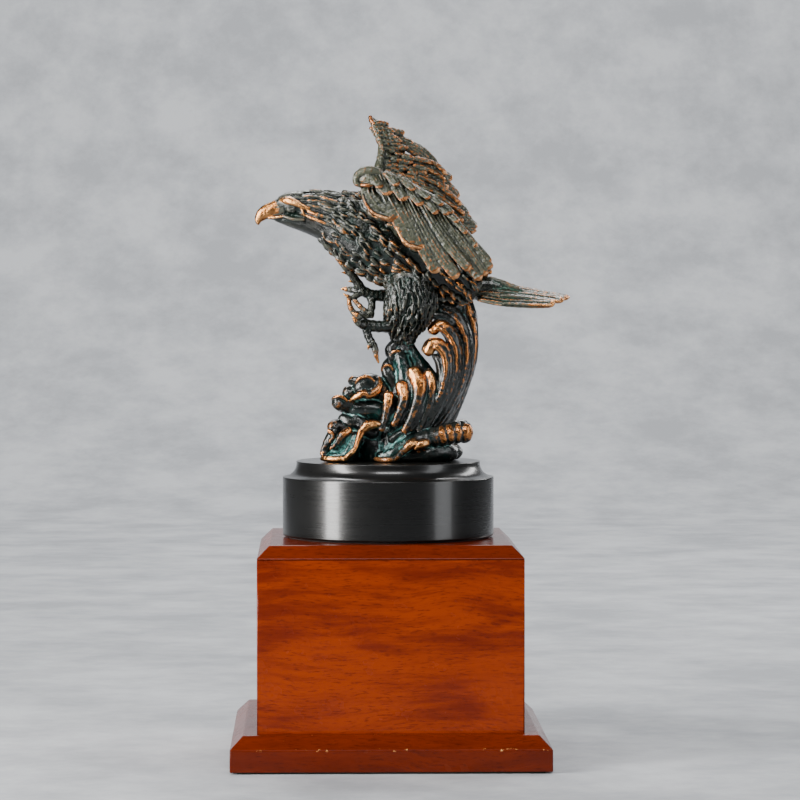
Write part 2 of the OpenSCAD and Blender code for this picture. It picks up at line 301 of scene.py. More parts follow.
def bronzeMaterial(name):
    look = bronzeLooks[name]
    material, shader = newMaterial(name)
    # the per-point value holds wear and patina together with painted shade in the creases and painted
    # highlight on the ridges
    worn = addNode(shader, "Attribute")
    worn.attribute_name = "rub"
    place = placeNode(shader)
    coarse = noiseNode(place, 130, 5)
    fine = noiseNode(place, 620, 4, 0.65)
    patch = noiseNode(place, 42, 2, 0.5)
    uneven = plus(plus(swing(coarse, 0.30), swing(fine, 0.22)), swing(patch, look["patchy"]))
    wornAndShaded = plus(worn.outputs["Fac"], uneven)
    dusty, sunk, ground, rubbed, polishedAndSheen = (spread(wornAndShaded, *levels) for levels in levelsOfWearAndShading.values())
    patches = spread(noiseNode(place, 55, 3, 0.5), 0.40, 0.62)
    teal = times(times(sunk, patches), look["hollowAmount"])
    # dark in the creases and lighter olive on the ridges: painted shade and painted highlight
    base = mixColour(ground, look["dark"], look["mid"])
    base = mixColour(teal, base, look["hollow"])
    base = mixColour(times(dusty, spread(fine, 0.34, 0.6)), base, look["powder"])
    # brighter copper on the highest crests: polished wear, partly a painted highlight
    metal = mixColour(polishedAndSheen, look["copper"], look["bright"])
    feed(shader, {
        "Base Color": mixColour(rubbed, base, metal),
        "Metallic": plus(times(rubbed, 0.8), 0.2),
        "Roughness": plus(times(coarse, 0.20), look["gloss"] - 0.1),
        "Specular IOR Level": 0.32, "Coat Weight": 0.3, "Coat Roughness": 0.16,
    })
    addBump(shader, plus(fine, times(coarse, 1.6)), look["relief"], 0.9)
    return material


figureBronze = bronzeMaterial("figureBronze")
wingBronze = bronzeMaterial("wingBronze")
tailBronze = bronzeMaterial("tailBronze")
waveBronze = bronzeMaterial("waveBronze")


# woods, lacquer, metals and felt
woodLooks = {
    "panelWood": {"light": (0.195, 0.021, 0.0001), "deep": (0.100, 0.0078, 0.0001),
        "stroke": (0.05, 0.003, 0.0001)},
    "mouldingWood": {"light": (0.100, 0.0095, 0.0001), "deep": (0.070, 0.006, 0.0001),
        "stroke": (0.03, 0.002, 0.0001), "chip": (0.62, 0.30, 0.10)},
}
# noise scales, for grain along X
woodGrain = {
    "strokes": (170, 1100, 1100), "streaks": (26, 260, 260), "flame": (10, 10, 46), "flameTilt": 0.6,
    "bend": (0.010, 0.010, 0.016),
}


def woodMaterial(name, look, turn=0.0, shift=(0, 0, 0), chips=None):
    # fine dark strokes along the grain over broad clouds and flames, under clear lacquer
    colours, grain = woodLooks[look], woodGrain
    material, shader = newMaterial(name)
    place = placeNode(shader, (1, 1, 1), (0, 0, turn), shift)
    bent = addNode(shader, "VectorMath")
    bent.operation = "MULTIPLY_ADD"
    feed(bent, {0: noiseNode(place, 14, 2, 0.5, output="Color"), 1: grain["bend"], 2: place})

    def stretched(scale):
        mapping = addNode(shader, "Mapping")
        feed(mapping, {"Scale": scale, "Vector": bent.outputs[0]})
        return mapping.outputs["Vector"]

    strokes = noiseNode(stretched(grain["strokes"]), 1, 3, 0.62)
    streaks = noiseNode(stretched(grain["streaks"]), 1)
    flame = noiseNode(placeNode(shader, grain["flame"], (0, grain["flameTilt"], turn), shift), 1, 3, 0.5, 1.3)
    cloud = noiseNode(place, 11, 2, 0.5)
    broad = plus(plus(times(flame, 0.6), times(cloud, 0.4)), swing(streaks, 0.55))
    tone = mixColour(spread(broad, 0.32, 0.62), colours["deep"], colours["light"])
    tone = mixColour(times(spread(strokes, 0.50, 0.72), 0.6), tone, colours["stroke"])
    if chips:
        tone = mixColour(chips(shader), tone, colours["chip"])
    haze = noiseNode(place, 60, 3)
    feed(shader, {
        "Base Color": tone, "Roughness": plus(times(haze, 0.12), 0.2),
        "Specular IOR Level": 0.08, "Coat Weight": 0.28, "Coat Roughness": 0.05,
    })
    addBump(shader, plus(times(strokes, -0.5), haze), 0.00006, 0.5)
    return material


def rubbedEdges(half, high):
    # chips in the lacquer along the arrises of a square board
    def chips(near):
        coords = addNode(near, "TexCoord").outputs["Object"]
        split = addNode(near, "SeparateXYZ")
        feed(split, {0: coords})
        x, y, z = split.outputs
        farther = mathNode("MAXIMUM", mathNode("ABSOLUTE", x), mathNode("ABSOLUTE", y))
        across = mathNode("ABSOLUTE", minus(z, high * mm))
        edge = spread(mathNode("MAXIMUM", across, minus(half * mm, farther)), 0.0011, 0.0003)
        return times(edge, spread(noiseNode(coords, 150, 4, 0.7), 0.60, 0.68))
    return chips


panelWoodAlongX = woodMaterial("panelWoodAlongX", "panelWood", 0.0, (0.31, 0.07, 0.02))
panelWoodAlongY = woodMaterial("panelWoodAlongY", "panelWood", quarter, (0.12, 0.21, 0.05))
mouldingWood = woodMaterial("mouldingWood", "mouldingWood", 0.0, (0.05, 0.4, 0.3), rubbedEdges(90, 13.5))


def plainMetal(name, colour, rough, along):
    # fine turning or drawing marks
    material, shader = newMaterial(name)
    marks = noiseNode(placeNode(shader, along), 1, 4, 0.7)
    tint = spread(noiseNode(placeNode(shader), 300, 3), 0.35, 0.7)
    dull = tuple(c * 0.72 for c in colour)
    feed(shader, {
        "Base Color": mixColour(tint, dull, colour), "Metallic": 1.0,
        "Roughness": plus(times(marks, 0.2), rough - 0.1),
    })
    addBump(shader, marks, 0.00003, 0.6)
    return material


def feltMaterial(name, shades):
    material, shader = newMaterial(name)
    place = placeNode(shader)
    hairs = noiseNode(place, 2600, 5, 0.75, 1.2)
    tufts = noiseNode(place, 240)
    blend = plus(times(hairs, 0.6), times(tufts, 0.4))
    feed(shader, {
        "Base Color": ramp(blend, list(zip((0.36, 0.5, 0.66), shades))), "Roughness": 0.95,
        "Sheen Weight": 0.4, "Sheen Roughness": 0.5,
    })
    addBump(shader, blend, 0.0003, 0.8)
    return material


def lacquerMaterial():
    # satin black, with faint brushing round it and dust in the coat
    material, shader = newMaterial("blackLacquer")
    place = placeNode(shader)
    brushed = noiseNode(placeNode(shader, (9, 9, 900)), 1, 3)
    cloud = noiseNode(place, 26)
    dust = spread(noiseNode(place, 900, 2, 0.5), 0.72, 0.8)
    black = mixColour(cloud, (0.0015, 0.0015, 0.0015), (0.005, 0.005, 0.0047))
    feed(shader, {
        "Base Color": mixColour(times(dust, 0.18), black, (0.08, 0.08, 0.08)),
        "Roughness": plus(plus(times(cloud, 0.10), times(brushed, 0.08)), 0.19),
        "Specular IOR Level": 0.35, "Coat Weight": 0.25, "Coat Roughness": 0.12,
    })
    addBump(shader, brushed, 0.00002, 0.5)
    return material


def bareWoodMaterial():
    material, shader = newMaterial("bareWood")
    grain = noiseNode(placeNode(shader, (420, 420, 22)), 1, 4, 0.65)
    rings = noiseNode(placeNode(shader, (60, 60, 6)), 1, 3, 0.5, 0.6)
    tone = mixColour(rings, (0.48, 0.29, 0.14), (0.62, 0.43, 0.25))
    tone = mixColour(spread(grain, 0.52, 0.72), tone, (0.30, 0.16, 0.07))
    feed(shader, {"Base Color": tone, "Roughness": 0.72})
    addBump(shader, grain, 0.0001, 0.6)
    return material


blackLacquer = lacquerMaterial()
brushedSteel = plainMetal("brushedSteel", (0.58, 0.58, 0.57), 0.34, (900, 900, 40))
turnedBrass = plainMetal("turnedBrass", (0.72, 0.50, 0.20), 0.32, (60, 60, 1500))
greenFelt = feltMaterial("greenFelt", ((0.008, 0.022, 0.016), (0.016, 0.05, 0.034), (0.05, 0.10, 0.075)))
darkFelt = feltMaterial("darkFelt", ((0.004, 0.003, 0.003), (0.010, 0.008, 0.007), (0.035, 0.030, 0.026)))
bareWood = bareWoodMaterial()


# sculpting tools
def easeRun(stations, steps):
    # rings between the given stations, on a smooth curve
    points = [np.array(list(s) + [s[3]] * (5 - len(s)), float) for s in stations]
    rings = []
    last = len(points) - 1
    for i in range(last):
        a = points[max(i - 1, 0)]
        b, c = points[i], points[i + 1]
        d = points[min(i + 2, last)]
        for k in range(steps):
            t = k / steps
            rings.append(0.5 * (2 * b + (c - a) * t + (2 * a - 5 * b + 4 * c - d) * t * t
                + (3 * b - a - 3 * c + d) * t * t * t))
    rings.append(points[last])
    for ring in rings:
        ring[3:] = np.maximum(ring[3:], 0.15)
    return rings


def ringFrames(rings, hint):
    # one matrix a ring: local X along the hint, local Y across it, local Z along the run
    frames = []
    for i, ring in enumerate(rings):
        ahead = rings[min(i + 1, len(rings) - 1)][:3] - rings[max(i - 1, 0)][:3]
        tangent = Vector(ahead).normalized()
        side = Vector(hint) - tangent * Vector(hint).dot(tangent)
        side.normalize()
        up = tangent.cross(side)
        turn = Matrix((side, up, tangent)).transposed().to_4x4()
        size = Matrix.Diagonal((ring[3] * mm, ring[4] * mm, mm, 1))
        frames.append(Matrix.Translation(at(*ring[:3])) @ turn @ size)
    return frames


endRings = ((0.5, 0.87), (0.86, 0.52), (1.0, 0.22))  # how far out and how wide the rings of a rounded end are


def growRun(bm, stations, sides, steps, hint=(0, 1, 0), rub=0.5, blunt=0.9):
    # a closed, round-ended run through its stations: x, y, z, radius along the hint, radius across it
    part = bmesh.new()
    layer = part.verts.layers.float.new("rub")
    frames = ringFrames(easeRun(stations, steps), hint)
    count = len(frames) - 1
    rings = [(place, i / count) for i, place in enumerate(frames)]
    for i, size in ((0, -1), (count, 1)):
        first = stations[0 if i == 0 else -1]
        reach = blunt * size * max(first[3], first[4] if len(first) > 4 else first[3])
        for lift, shrink in endRings:
            narrow = Matrix.Diagonal((shrink, shrink, 1, 1))
            cap = frames[i] @ Matrix.Translation((0, 0, reach * lift)) @ narrow
            along = i / count + 0.1 * lift * size
            rings.insert(0 if i == 0 else len(rings), (cap, along))
    made = bmesh.ops.create_circle(part, cap_ends=True, radius=1, segments=sides, matrix=rings[0][0])
    verts = made["verts"]
    face = verts[0].link_faces[0]
    for k, (place, along) in enumerate(rings):
        if k:
            out = bmesh.ops.extrude_face_region(part, geom=[face])
            verts = picked(out, bmesh.types.BMVert)
            face = picked(out, bmesh.types.BMFace)[0]
            bmesh.ops.transform(part, verts=verts, matrix=place @ rings[k - 1][0].inverted())
        back = place.inverted()
        for v in verts:
            local = back @ v.co
            v[layer] = rub(along, local.x, local.y) if callable(rub) else rub
    join(bm, part)


def join(bm, part):
    mesh = takeMesh(part, "part")
    bm.from_mesh(mesh)
    bpy.data.meshes.remove(mesh)


def leafMesh(name, taper, ridge):
    # a small feather, root at y = 0, tip at y = 1, top towards +Z
    bm = bmesh.new()
    layer = bm.verts.layers.float.new("rub")
    bmesh.ops.create_uvsphere(bm, u_segments=10, v_segments=7, radius=1,
        matrix=Matrix.Rotation(quarter, 4, "X"))
    for v in bm.verts:
        x, y, z = v.co
        along = (y + 1) / 2
        v.co.x = x * mix(1.1, 1 - taper, along * along)
        v.co.z = z * mix(1.0, 0.55, along) + ridge * (1 - abs(x)) * (1 if z > 0 else 0)
        v.co.y = along
        tip = smoothstep(0.5, 0.98, along)
        # worn brighter towards the tip; lighter along the middle and darker at the root and edges, a painted
        # highlight on the ridge and painted shade where the feathers overlap
        v[layer] = 0.36 + 0.2 * tip + 0.08 * (1 - abs(x))
    return takeMesh(bm, name)


def plant(bm, leaf, place, extra):
    mesh = leaf.copy()
    mesh.transform(place)
    for entry in mesh.attributes["rub"].data:
        entry.value += extra
    bm.from_mesh(mesh)
    bpy.data.meshes.remove(mesh)


def leafPlace(spot, flow, outward, width, length, thick):
    across = flow.cross(outward).normalized()
    outward = across.cross(flow).normalized()
    turn = Matrix((across, flow.normalized(), outward)).transposed().to_4x4()
    return Matrix.Translation(spot) @ turn @ Matrix.Diagonal((width * mm, length * mm, thick * mm, 1))


def clothe(bm, rings, leaf, plan):
    # rows of feathers round a run, tips along it
    frames = ringFrames(rings, (0, 1, 0))
    first, last = plan["span"]
    for row in range(plan["rows"]):
        part = mix(first, last, row / (plan["rows"] - 1)) * (len(frames) - 1)
        i = min(int(part), len(frames) - 2)
        base = frames[i].lerp(frames[i + 1], part - i)
        girth = (base.col[0].length + base.col[1].length) / 2 / mm
        low, high = plan["arc"]
        count = max(3, round(math.radians(high - low) * girth / (plan["width"] * plan["space"])))
        for j in range(count + 1):
            angle = math.radians(low + (high - low) * (j + 0.5 * (row % 2)) / count)
            angle += rng.uniform(-1, 1) * plan["jitter"] * 0.12
            spot = base @ Vector((math.sin(angle), math.cos(angle), rng.uniform(-1, 1) * plan["jitter"]))
            outward = (base.col[0].xyz.normalized() * math.sin(angle) / base.col[0].length
                + base.col[1].xyz.normalized() * math.cos(angle) / base.col[1].length).normalized()
            tangent = base.col[2].xyz.normalized()
            down = Vector((0, 0, -1)) - outward * outward.dot(Vector((0, 0, -1)))
            astray = tangent.cross(outward) * rng.uniform(-1, 1) * plan["stray"]
            flow = tangent + down * plan["droop"] + astray
            flow = (flow.normalized() + outward * plan["lift"]).normalized()
            size = rng.uniform(0.82, 1.15)
            place = leafPlace(spot - outward * plan["sink"] * mm, flow, outward,
                plan["width"] * 0.5 * size, plan["length"] * size, plan["thick"])
            plant(bm, leaf, place, rng.uniform(-0.16, 0.16) + plan["rub"])


def pointData(mesh, name):
    values = np.empty(len(mesh.vertices) * 3)
    mesh.vertices.foreach_get(name, values)
    return values.reshape(-1, 3)


fineReach, broadReach = 6, 36  # smoothing steps that fine and broad relief are measured against
fullRise = 88  # percentile of the relief that counts as fully proud


def standing(mesh):
    # how far each point stands out of its surroundings, from -1 in a hollow to 1 on a crest
    n = len(mesh.vertices)
    co, normal = pointData(mesh, "co"), pointData(mesh, "normal")
    pairs = np.empty(len(mesh.edges) * 2, int)
    mesh.edges.foreach_get("vertices", pairs)
    a, b = pairs.reshape(-1, 2).T
    degree = np.maximum(np.bincount(a, minlength=n) + np.bincount(b, minlength=n), 1)
    smooth = co.copy()
    total = np.zeros(n)
    for step in range(1, broadReach + 1):
        near = np.empty_like(smooth)
        for k in range(3):
            near[:, k] = np.bincount(a, smooth[b, k], n) + np.bincount(b, smooth[a, k], n)
        smooth = 0.4 * smooth + 0.6 * near / degree[:, None]
        if step in (fineReach, broadReach):
            rise = ((co - smooth) * normal).sum(1)
            total += 0.5 * np.tanh(rise / np.percentile(np.abs(rise), fullRise))
    return total


skinTriangles = 188000  # most triangles in one cast skin


def evaluated(piece):
    bpy.context.view_layer.update()
    return piece.evaluated_get(bpy.context.evaluated_depsgraph_get())


def bakeModifiers(piece):
    done = bpy.data.meshes.new_from_object(evaluated(piece))
    piece.modifiers.clear()
    piece.data = done
    return done


def fuse(piece, size, passes, gain, crust=0.16, grain=1.7):
    # one cast skin over the overlapping runs of a piece, rubbed bright where it stands proud and darkened in
    # its creases, as wear and patina together with painted highlight and painted shade;
    # size is the skin's grid, gain how much relief shows as wear and painted shading,
    # crust and grain the unevenness of the casting
    old = piece.data
    values = [entry.value for entry in old.attributes["rub"].data]
    lookup = kdtree.KDTree(len(old.vertices))
    for v in old.vertices:
        lookup.insert(v.co, v.index)
    lookup.balance()
    remesh = piece.modifiers.new("fuse", "REMESH")
    remesh.mode = "VOXEL"
    remesh.voxel_size = size * mm
    soften = piece.modifiers.new("soften", "SMOOTH")
    soften.factor = 0.5
    soften.iterations = passes
    squares = len(evaluated(piece).data.polygons)
    thin = piece.modifiers.new("thin", "DECIMATE")
    thin.ratio = min(1, skinTriangles / (2 * squares))
    material = old.materials[0]
    done = bakeModifiers(piece)
    done.materials.clear()
    done.materials.append(material)
    done.shade_smooth()
    normals = [v.normal.copy() for v in done.vertices]
    for v, normal in zip(done.vertices, normals):
        spot = v.co / (grain * mm)
        v.co += normal * (noise.noise(spot) + 0.5 * noise.noise(spot * 2.3)) * crust * mm
    # hollows darkened as painted shade, crests lightened as painted highlight and as wear
    rub = standing(done) * gain
    for v in done.vertices:
        total = share = 0.0
        for spot, index, distance in lookup.find_n(v.co, 4):
            weight = 1 / (distance + 0.3 * mm) ** 2
            total += values[index] * weight
            share += weight
        rub[v.index] += total / share
    layer = done.attributes.get("rub") or done.attributes.new("rub", "FLOAT", "POINT")
    layer.data.foreach_set("value", np.clip(rub, 0, 1).astype(np.float32))
    print(piece.name, "is one skin of", len(done.loop_triangles), "triangles")


def fading(first, last, start=0.0, end=1.0):
    return lambda along, x, y: mix(first, last, smoothstep(start, end, along))


# the bird: one skin of neck, trunk and thighs under rows of feathers
bird = {
    "spine": [
        (-62, 0, 148.6, 4.4, 5.0), (-57, 0, 148.7, 6.4, 7.2), (-50, 0, 147.8, 7.8, 8.7),
        (-44, 0, 146.3, 9.0, 10.3), (-36, 0, 143.6, 11.2, 13.0), (-27, 0, 139, 14.2, 17.2),
        (-14, 0, 133.4, 18.0, 22.2), (2, 0, 127.6, 20.6, 24.2), (18, 0, 120.4, 20.6, 23.8),
        (34, 0, 110.6, 16.6, 19.0), (46, 0, 103, 11.2, 12.0), (51, 0, 100, 8.2, 8.2),
    ],
    "nearThigh": [(11, -9, 106, 12, 12), (13, -9.4, 97, 13.2, 14.2), (12.2, -9, 89, 12.2, 12.6),
        (9.4, -6.4, 80, 8.4, 7.8), (8.6, -3.4, 73, 5.2, 4.6)],
    "farThigh": [(15, 9, 106, 12, 12), (15.4, 9.4, 97, 12.4, 13.4), (13, 9, 89, 11.2, 11.6),
        (10, 6, 80, 7.4, 7.0), (8.6, -0.6, 73, 4.8, 4.2)],
    "crown": {"span": (0.12, 0.24), "rows": 4, "width": 1.9, "length": 9, "thick": 1.0,
        "space": 1.5, "arc": (-80, 80), "jitter": 0.6, "droop": 0.0, "stray": 0.12,
        "lift": 0.05, "sink": 0.1, "rub": 0.02},
    "hackles": {"span": (0.19, 0.46), "rows": 8, "width": 2.5, "length": 17, "thick": 2.3,
        "space": 1.75, "arc": (-112, 112), "jitter": 1.6, "droop": 0.05, "stray": 0.12,
        "lift": 0.09, "sink": 0.15, "rub": 0.05},
    "breast": {"span": (0.40, 0.93), "rows": 17, "width": 3.0, "length": 6.6, "thick": 2.5,
        "space": 1.04, "arc": (-180, 180), "jitter": 1.3, "droop": 0.35, "stray": 0.55,
        "lift": 0.30, "sink": 0.35, "rub": -0.04},
    "thighDown": {"span": (0.02, 0.95), "rows": 14, "width": 2.1, "length": 7.5, "thick": 1.4,
        "space": 1.15, "arc": (-180, 180), "jitter": 0.9, "droop": 0.0, "stray": 0.34,
        "lift": 0.14, "sink": 0.1, "rub": -0.26},
}
pointedLeaf = leafMesh("pointedLeaf", 0.85, 0.35)
roundLeaf = leafMesh("roundLeaf", 0.3, 0.25)
strandLeaf = leafMesh("strandLeaf", 0.75, 0.1)
rng = random.Random(7)


# sides, steps between stations, how worn the start and end are, how blunt, stations
head = {
    "pairs": [
        (12, 4, 1.0, 0.8, 0.9, [(-60.6, 3.6, 150.6, 1.9, 1.6), (-57, 5.4, 150.4, 2.9, 2.5),
            (-52, 7.3, 148.4, 2.5, 2.0), (-46, 8.8, 145.8, 1.3, 1.2)]),  # brow
        (12, 2, 0.1, 0.1, 0.9, [(-57.4, 5.4, 145.6, 1.6, 2.0), (-54.8, 6.3, 145.2, 1.5, 1.9)]),  # eye
        (8, 3, 0.86, 0.86, 0.9, [(-50.2, 8.2, 146.4, 0.9, 0.8), (-49.4, 8.6, 144.0, 0.9, 0.8),
            (-48.6, 8.4, 141.8, 0.8, 0.7)]),
        (8, 3, 0.34, 0.34, 0.9, [(-60, 4.6, 141.4, 1.3, 1.0), (-54.6, 6.7, 139.8, 1.5, 1.2),
            (-49, 7.9, 139.4, 1.3, 1.0)]),
        (8, 3, 0.78, 0.78, 0.9, [(-69, 2.2, 140.6, 0.7), (-65.4, 3.3, 141.0, 0.9),
            (-61.6, 4.4, 141.4, 0.8)]),
        (8, 4, 0.9, 0.6, 0.9, [(-46.6, 8.8, 144.6, 0.78), (-41, 10.4, 142.4, 1.3),
            (-29.6, 12.6, 139.2, 0.65)]),
        (8, 4, 0.9, 0.6, 0.9, [(-46.6, 8.8, 141.4, 0.66), (-41, 10.4, 139.2, 1.1),
            (-32.6, 12.6, 136, 0.55)]),
    ],
    "middle": [
        (16, 3, 0.3, 0.3, 0.9, [(-60.4, 0, 146.8, 5.0, 5.6), (-64.2, 0, 146.4, 4.2, 5.1)]),  # cere
        (16, 5, 1.0, 1.0, 0.5, [(-63.0, 0, 145.8, 3.7, 5.0), (-67.4, 0, 145.2, 3.7, 4.7),
            (-71.4, 0, 143.6, 3.2, 4.2), (-74.2, 0, 141.0, 2.3, 3.1), (-75.2, 0, 138.6, 1.4, 1.9),
            (-75.0, 0, 136.9, 0.6, 0.8)]),  # beak and its hook
        (12, 4, 0.3, 0.3, 0.9, [(-58, 0, 141.4, 4.6, 2.6), (-64.4, 0, 141.0, 3.2, 1.7),
            (-69.4, 0, 140.8, 1.6, 1.0)]),  # lower bill
        (24, 5, 0.2, 0.2, 0.9, [(-64, 0, 140.2, 2.4, 2.0), (-56, 0, 139.4, 5.4, 4.4),
            (-46, 0, 137.6, 8.0, 6.2), (-36, 0, 134.4, 10.6, 7.6), (-26, 0, 129.6, 14, 9.4),
            (-16, 0, 124, 17, 12)]),  # smooth throat
    ],
}


def headPieces(bm):
    for side, part in ((-1, "pairs"), (1, "pairs"), (1, "middle")):
        for sides, steps, first, last, blunt, stations in head[part]:
            placed = [(x, side * y, z, *size) for x, y, z, *size in stations]
            growRun(bm, placed, sides, steps, rub=fading(first, last), blunt=blunt)


def makeBird():
    bm = bmesh.new()
    bm.verts.layers.float.new("rub")
    growRun(bm, bird["spine"], 36, 4, rub=0.26, blunt=0.5)
    for thigh in ("nearThigh", "farThigh"):
        growRun(bm, bird[thigh], 24, 4, rub=0.2, blunt=0.6)
    headPieces(bm)
    spine = easeRun(bird["spine"], 4)
    clothe(bm, spine, strandLeaf, bird["crown"])
    clothe(bm, spine, strandLeaf, bird["hackles"])
    clothe(bm, spine, pointedLeaf, bird["breast"])
    for thigh in ("nearThigh", "farThigh"):
        clothe(bm, easeRun(bird[thigh], 4), pointedLeaf, bird["thighDown"])
    piece = newPiece("birdBody", bm, figureBronze, "figure_bronze", "eagle_body")
    fuse(piece, size=0.42, passes=1, gain=0.42, crust=0.10, grain=1.5)


# wings: long flat feathers with a raised shaft, in rows
broadFeather = 2.4
# place across the feather, height and size of the shaft and, on broad feathers, of two ribs beside it
broadRibs = ((0, 0.9, 1.5), (-0.5, 0.76, 1.1), (0.5, 0.76, 1.1))
narrowRibs = ((0, 0.9, 1.3),)


def layFeather(bm, path, width, thick, normal, tilt, rub, shaft=0.34):
    run = Vector(path[-1]) - Vector(path[0])
    across = run.cross(Vector(normal)).normalized()
    lean = Vector(normal).normalized() * math.cos(tilt) + across * math.sin(tilt)
    last = len(path) - 1
    stations = []
    for i, spot in enumerate(path):
        swell = mix(0.78, 1.0, min(1, i * 2 / last)) * (0.88 if i == last else 1)
        stations.append((*spot, thick * swell, width * swell))
    growRun(bm, stations, 14, 4, lean, rub, blunt=0.8)
    ribs = broadRibs if width > broadFeather else narrowRibs
    for share, height, size in ribs if shaft else ():
        sideways = run.cross(lean).normalized() * share * width
        raised = [tuple(Vector(p) + sideways + lean * (thick * height)) + (shaft * size,) for p in path]
        raised[-1] = tuple(Vector(raised[-2][:3]).lerp(Vector(raised[-1][:3]), 0.86)) + (shaft * 0.6,)
        growRun(bm, raised, 6, 4, lean, 0.56, blunt=0.5)


# copper worn into the tip, with painted highlight on the edges and painted shade on the inner face
def tipWearAndShading(ground, tip, start):
    def rub(along, x, y):
        worn = smoothstep(start, 1.09, along)
        # edges lighter, a painted highlight; the inner face darker, a painted shade under each feather
        edge = 0.1 * smoothstep(0.75, 1.0, abs(y))
        return mix(ground, tip, worn) + edge - (0.16 if x < -0.2 else 0)
    return rub


leftWing = {
    "outward": (-0.1, -1, 0.1), "tilt": -0.24,
    "scapulars": [
        (5.3, [(-11.6, -26, 158.5), (-11.2, -28.3, 152.8), (-6.5, -29.7, 146.6), (0.6, -31, 141.7)]),
        (5.7, [(-3.6, -27.5, 158.5), (2, -29.7, 147.6), (7.7, -31.3, 137.2), (12.2, -33, 127.2)]),
    ],
    "primaries": [
        (4.1, [(4.9, -28, 154.2), (10.5, -30.3, 141), (18, -32.7, 125.8), (26, -35, 111.2)]),
        (3.8, [(11.5, -28, 151.4), (19, -30.5, 136.2), (28.4, -33, 120.2), (37.3, -35.5, 107.9)]),
        (3.4, [(18.2, -28, 150.5), (26.6, -30.3, 135.3), (36, -32.7, 122.1), (44.6, -35, 112.1)]),
        (3.2, [(23.9, -27, 146.7), (32.3, -29.3, 132.5), (41.7, -31.7, 118.3), (50.9, -34, 106.5)]),
        (2.8, [(29.6, -26.5, 143.9), (37.1, -28.7, 132.5), (46.5, -30.8, 120.2), (54.2, -33, 109.3)]),
        (2.7, [(34.4, -26, 141.1), (41.9, -28, 131.6), (51.3, -30, 120.2), (57.3, -32, 112.6)]),
        (2.3, [(38.2, -25, 137.3), (44.8, -27, 129.7), (52.3, -29, 121.1), (56.9, -31, 115.9)]),
    ],
    "coverts": [
        (4, [(-5.5, -29, 164.6), (-3.7, -31, 159.8), (-1.1, -33, 155.2)]),
        (3.8, [(2, -30, 162.7), (4.8, -32, 157.4), (7.8, -34, 151.9)]),
        (3.1, [(9.6, -30.5, 158.9), (13.3, -32.5, 153.7), (17.2, -34.5, 148.6)]),
        (2.8, [(16.7, -30, 154.7), (21.4, -32, 149.4), (26.3, -34, 143.7)]),
        (2.5, [(22.9, -29, 151.4), (27.5, -31, 147.6), (32.7, -33, 143)]),
        (2.3, [(29.5, -28, 146.7), (34.2, -30, 142.4), (38.4, -32, 138.6)]),
        (1.9, [(34.8, -27, 142), (39, -29, 137.2), (43.6, -31, 132)]),
        (1.7, [(40.1, -26, 136.3), (44.7, -28, 131.1), (49.4, -30, 124.9)]),
    ],
    "upperRow": [
        (2.8, [(-10.2, -29, 164.6), (-7.9, -31.5, 161.7), (-5.8, -34, 158.3)]),
        (2.8, [(-1.7, -31, 165.5), (1.1, -33, 163.1), (3.8, -34.8, 159.7)]),
        (2.5, [(5.8, -31, 163.2), (9.6, -33, 160.3), (13.3, -34.8, 156.7)]),
        (2.3, [(13.4, -30.5, 158.5), (17.1, -32.4, 155.6), (21.8, -34.4, 151.8)]),
        (2.1, [(20.1, -29.5, 154.7), (24.7, -31.4, 151.8), (29.4, -33.2, 148)]),
        (1.9, [(26.7, -28.5, 150.5), (31.4, -30.4, 147.1), (35.6, -32.2, 143.6)]),
    ],
    "arm": [(-14, -24, 162, 4.6, 4.6), (-4, -25, 161, 4.6, 4.4), (8, -24.5, 158, 4.4, 4.4),
        (20, -23, 151, 4.2, 4.2), (32, -20, 142, 4, 4), (40, -16, 132, 4, 4), (42, -12, 122, 4, 4)],
    "root": [(4, -17, 146, 8, 7), (10, -18, 136, 7, 9), (20, -18, 128, 6, 9), (32, -16, 122, 5, 7)],
    "scroll": [(-6, -27.5, 165.4, 2.8), (-10.5, -28, 166.8, 3.2), (-15, -27.8, 166.2, 3.0),
        (-18.4, -27.2, 163.4, 2.4), (-18.6, -27.2, 160.2, 1.9), (-16.6, -27.8, 158.4, 1.2)],
    "palm": [(-15.4, -26, 163, 3.6), (-12, -28, 162.4, 3.8), (-8.4, -29, 161, 3.2)],
    "fold": [(-15.5, -30, 158.8, 1.1), (-12.4, -31.2, 158.6, 1.4), (-8.6, -31.6, 159.6, 1.3)],
    # sides, steps and how worn each bare run is
    "runs": [("arm", 14, 4, 0.4), ("root", 18, 4, 0.3), ("scroll", 12, 5, 0.5), ("palm", 12, 4, 0.52),
        ("fold", 10, 4, 0.62)],
    # lower edges of the two big smooth feathers, worn to copper
    "upperRim": [(-15.2, -29.6, 153.4, 0.5), (-13, -31, 147.6, 0.8), (-8.4, -32, 142.4, 0.9),
        (-1, -32.6, 139.6, 1.2)],
    "lowerRim": [(4.6, -33, 133, 0.6), (8.4, -34, 126.8, 1.1), (14, -34.6, 123.4, 1.5),
        (17.6, -34.4, 123.2, 1.0)],
}


def layRow(bm, row, *layers):
    # each layer: how far behind the row, thickness, outward, tilt, how worn, shaft
    for width, path in row:
        for shift, thick, outward, tilt, worn, shaft in layers:
            moved = [tuple(Vector(p) + Vector(shift)) for p in path] if shift else path
            layFeather(bm, moved, width, thick, outward, tilt, tipWearAndShading(*worn), shaft)


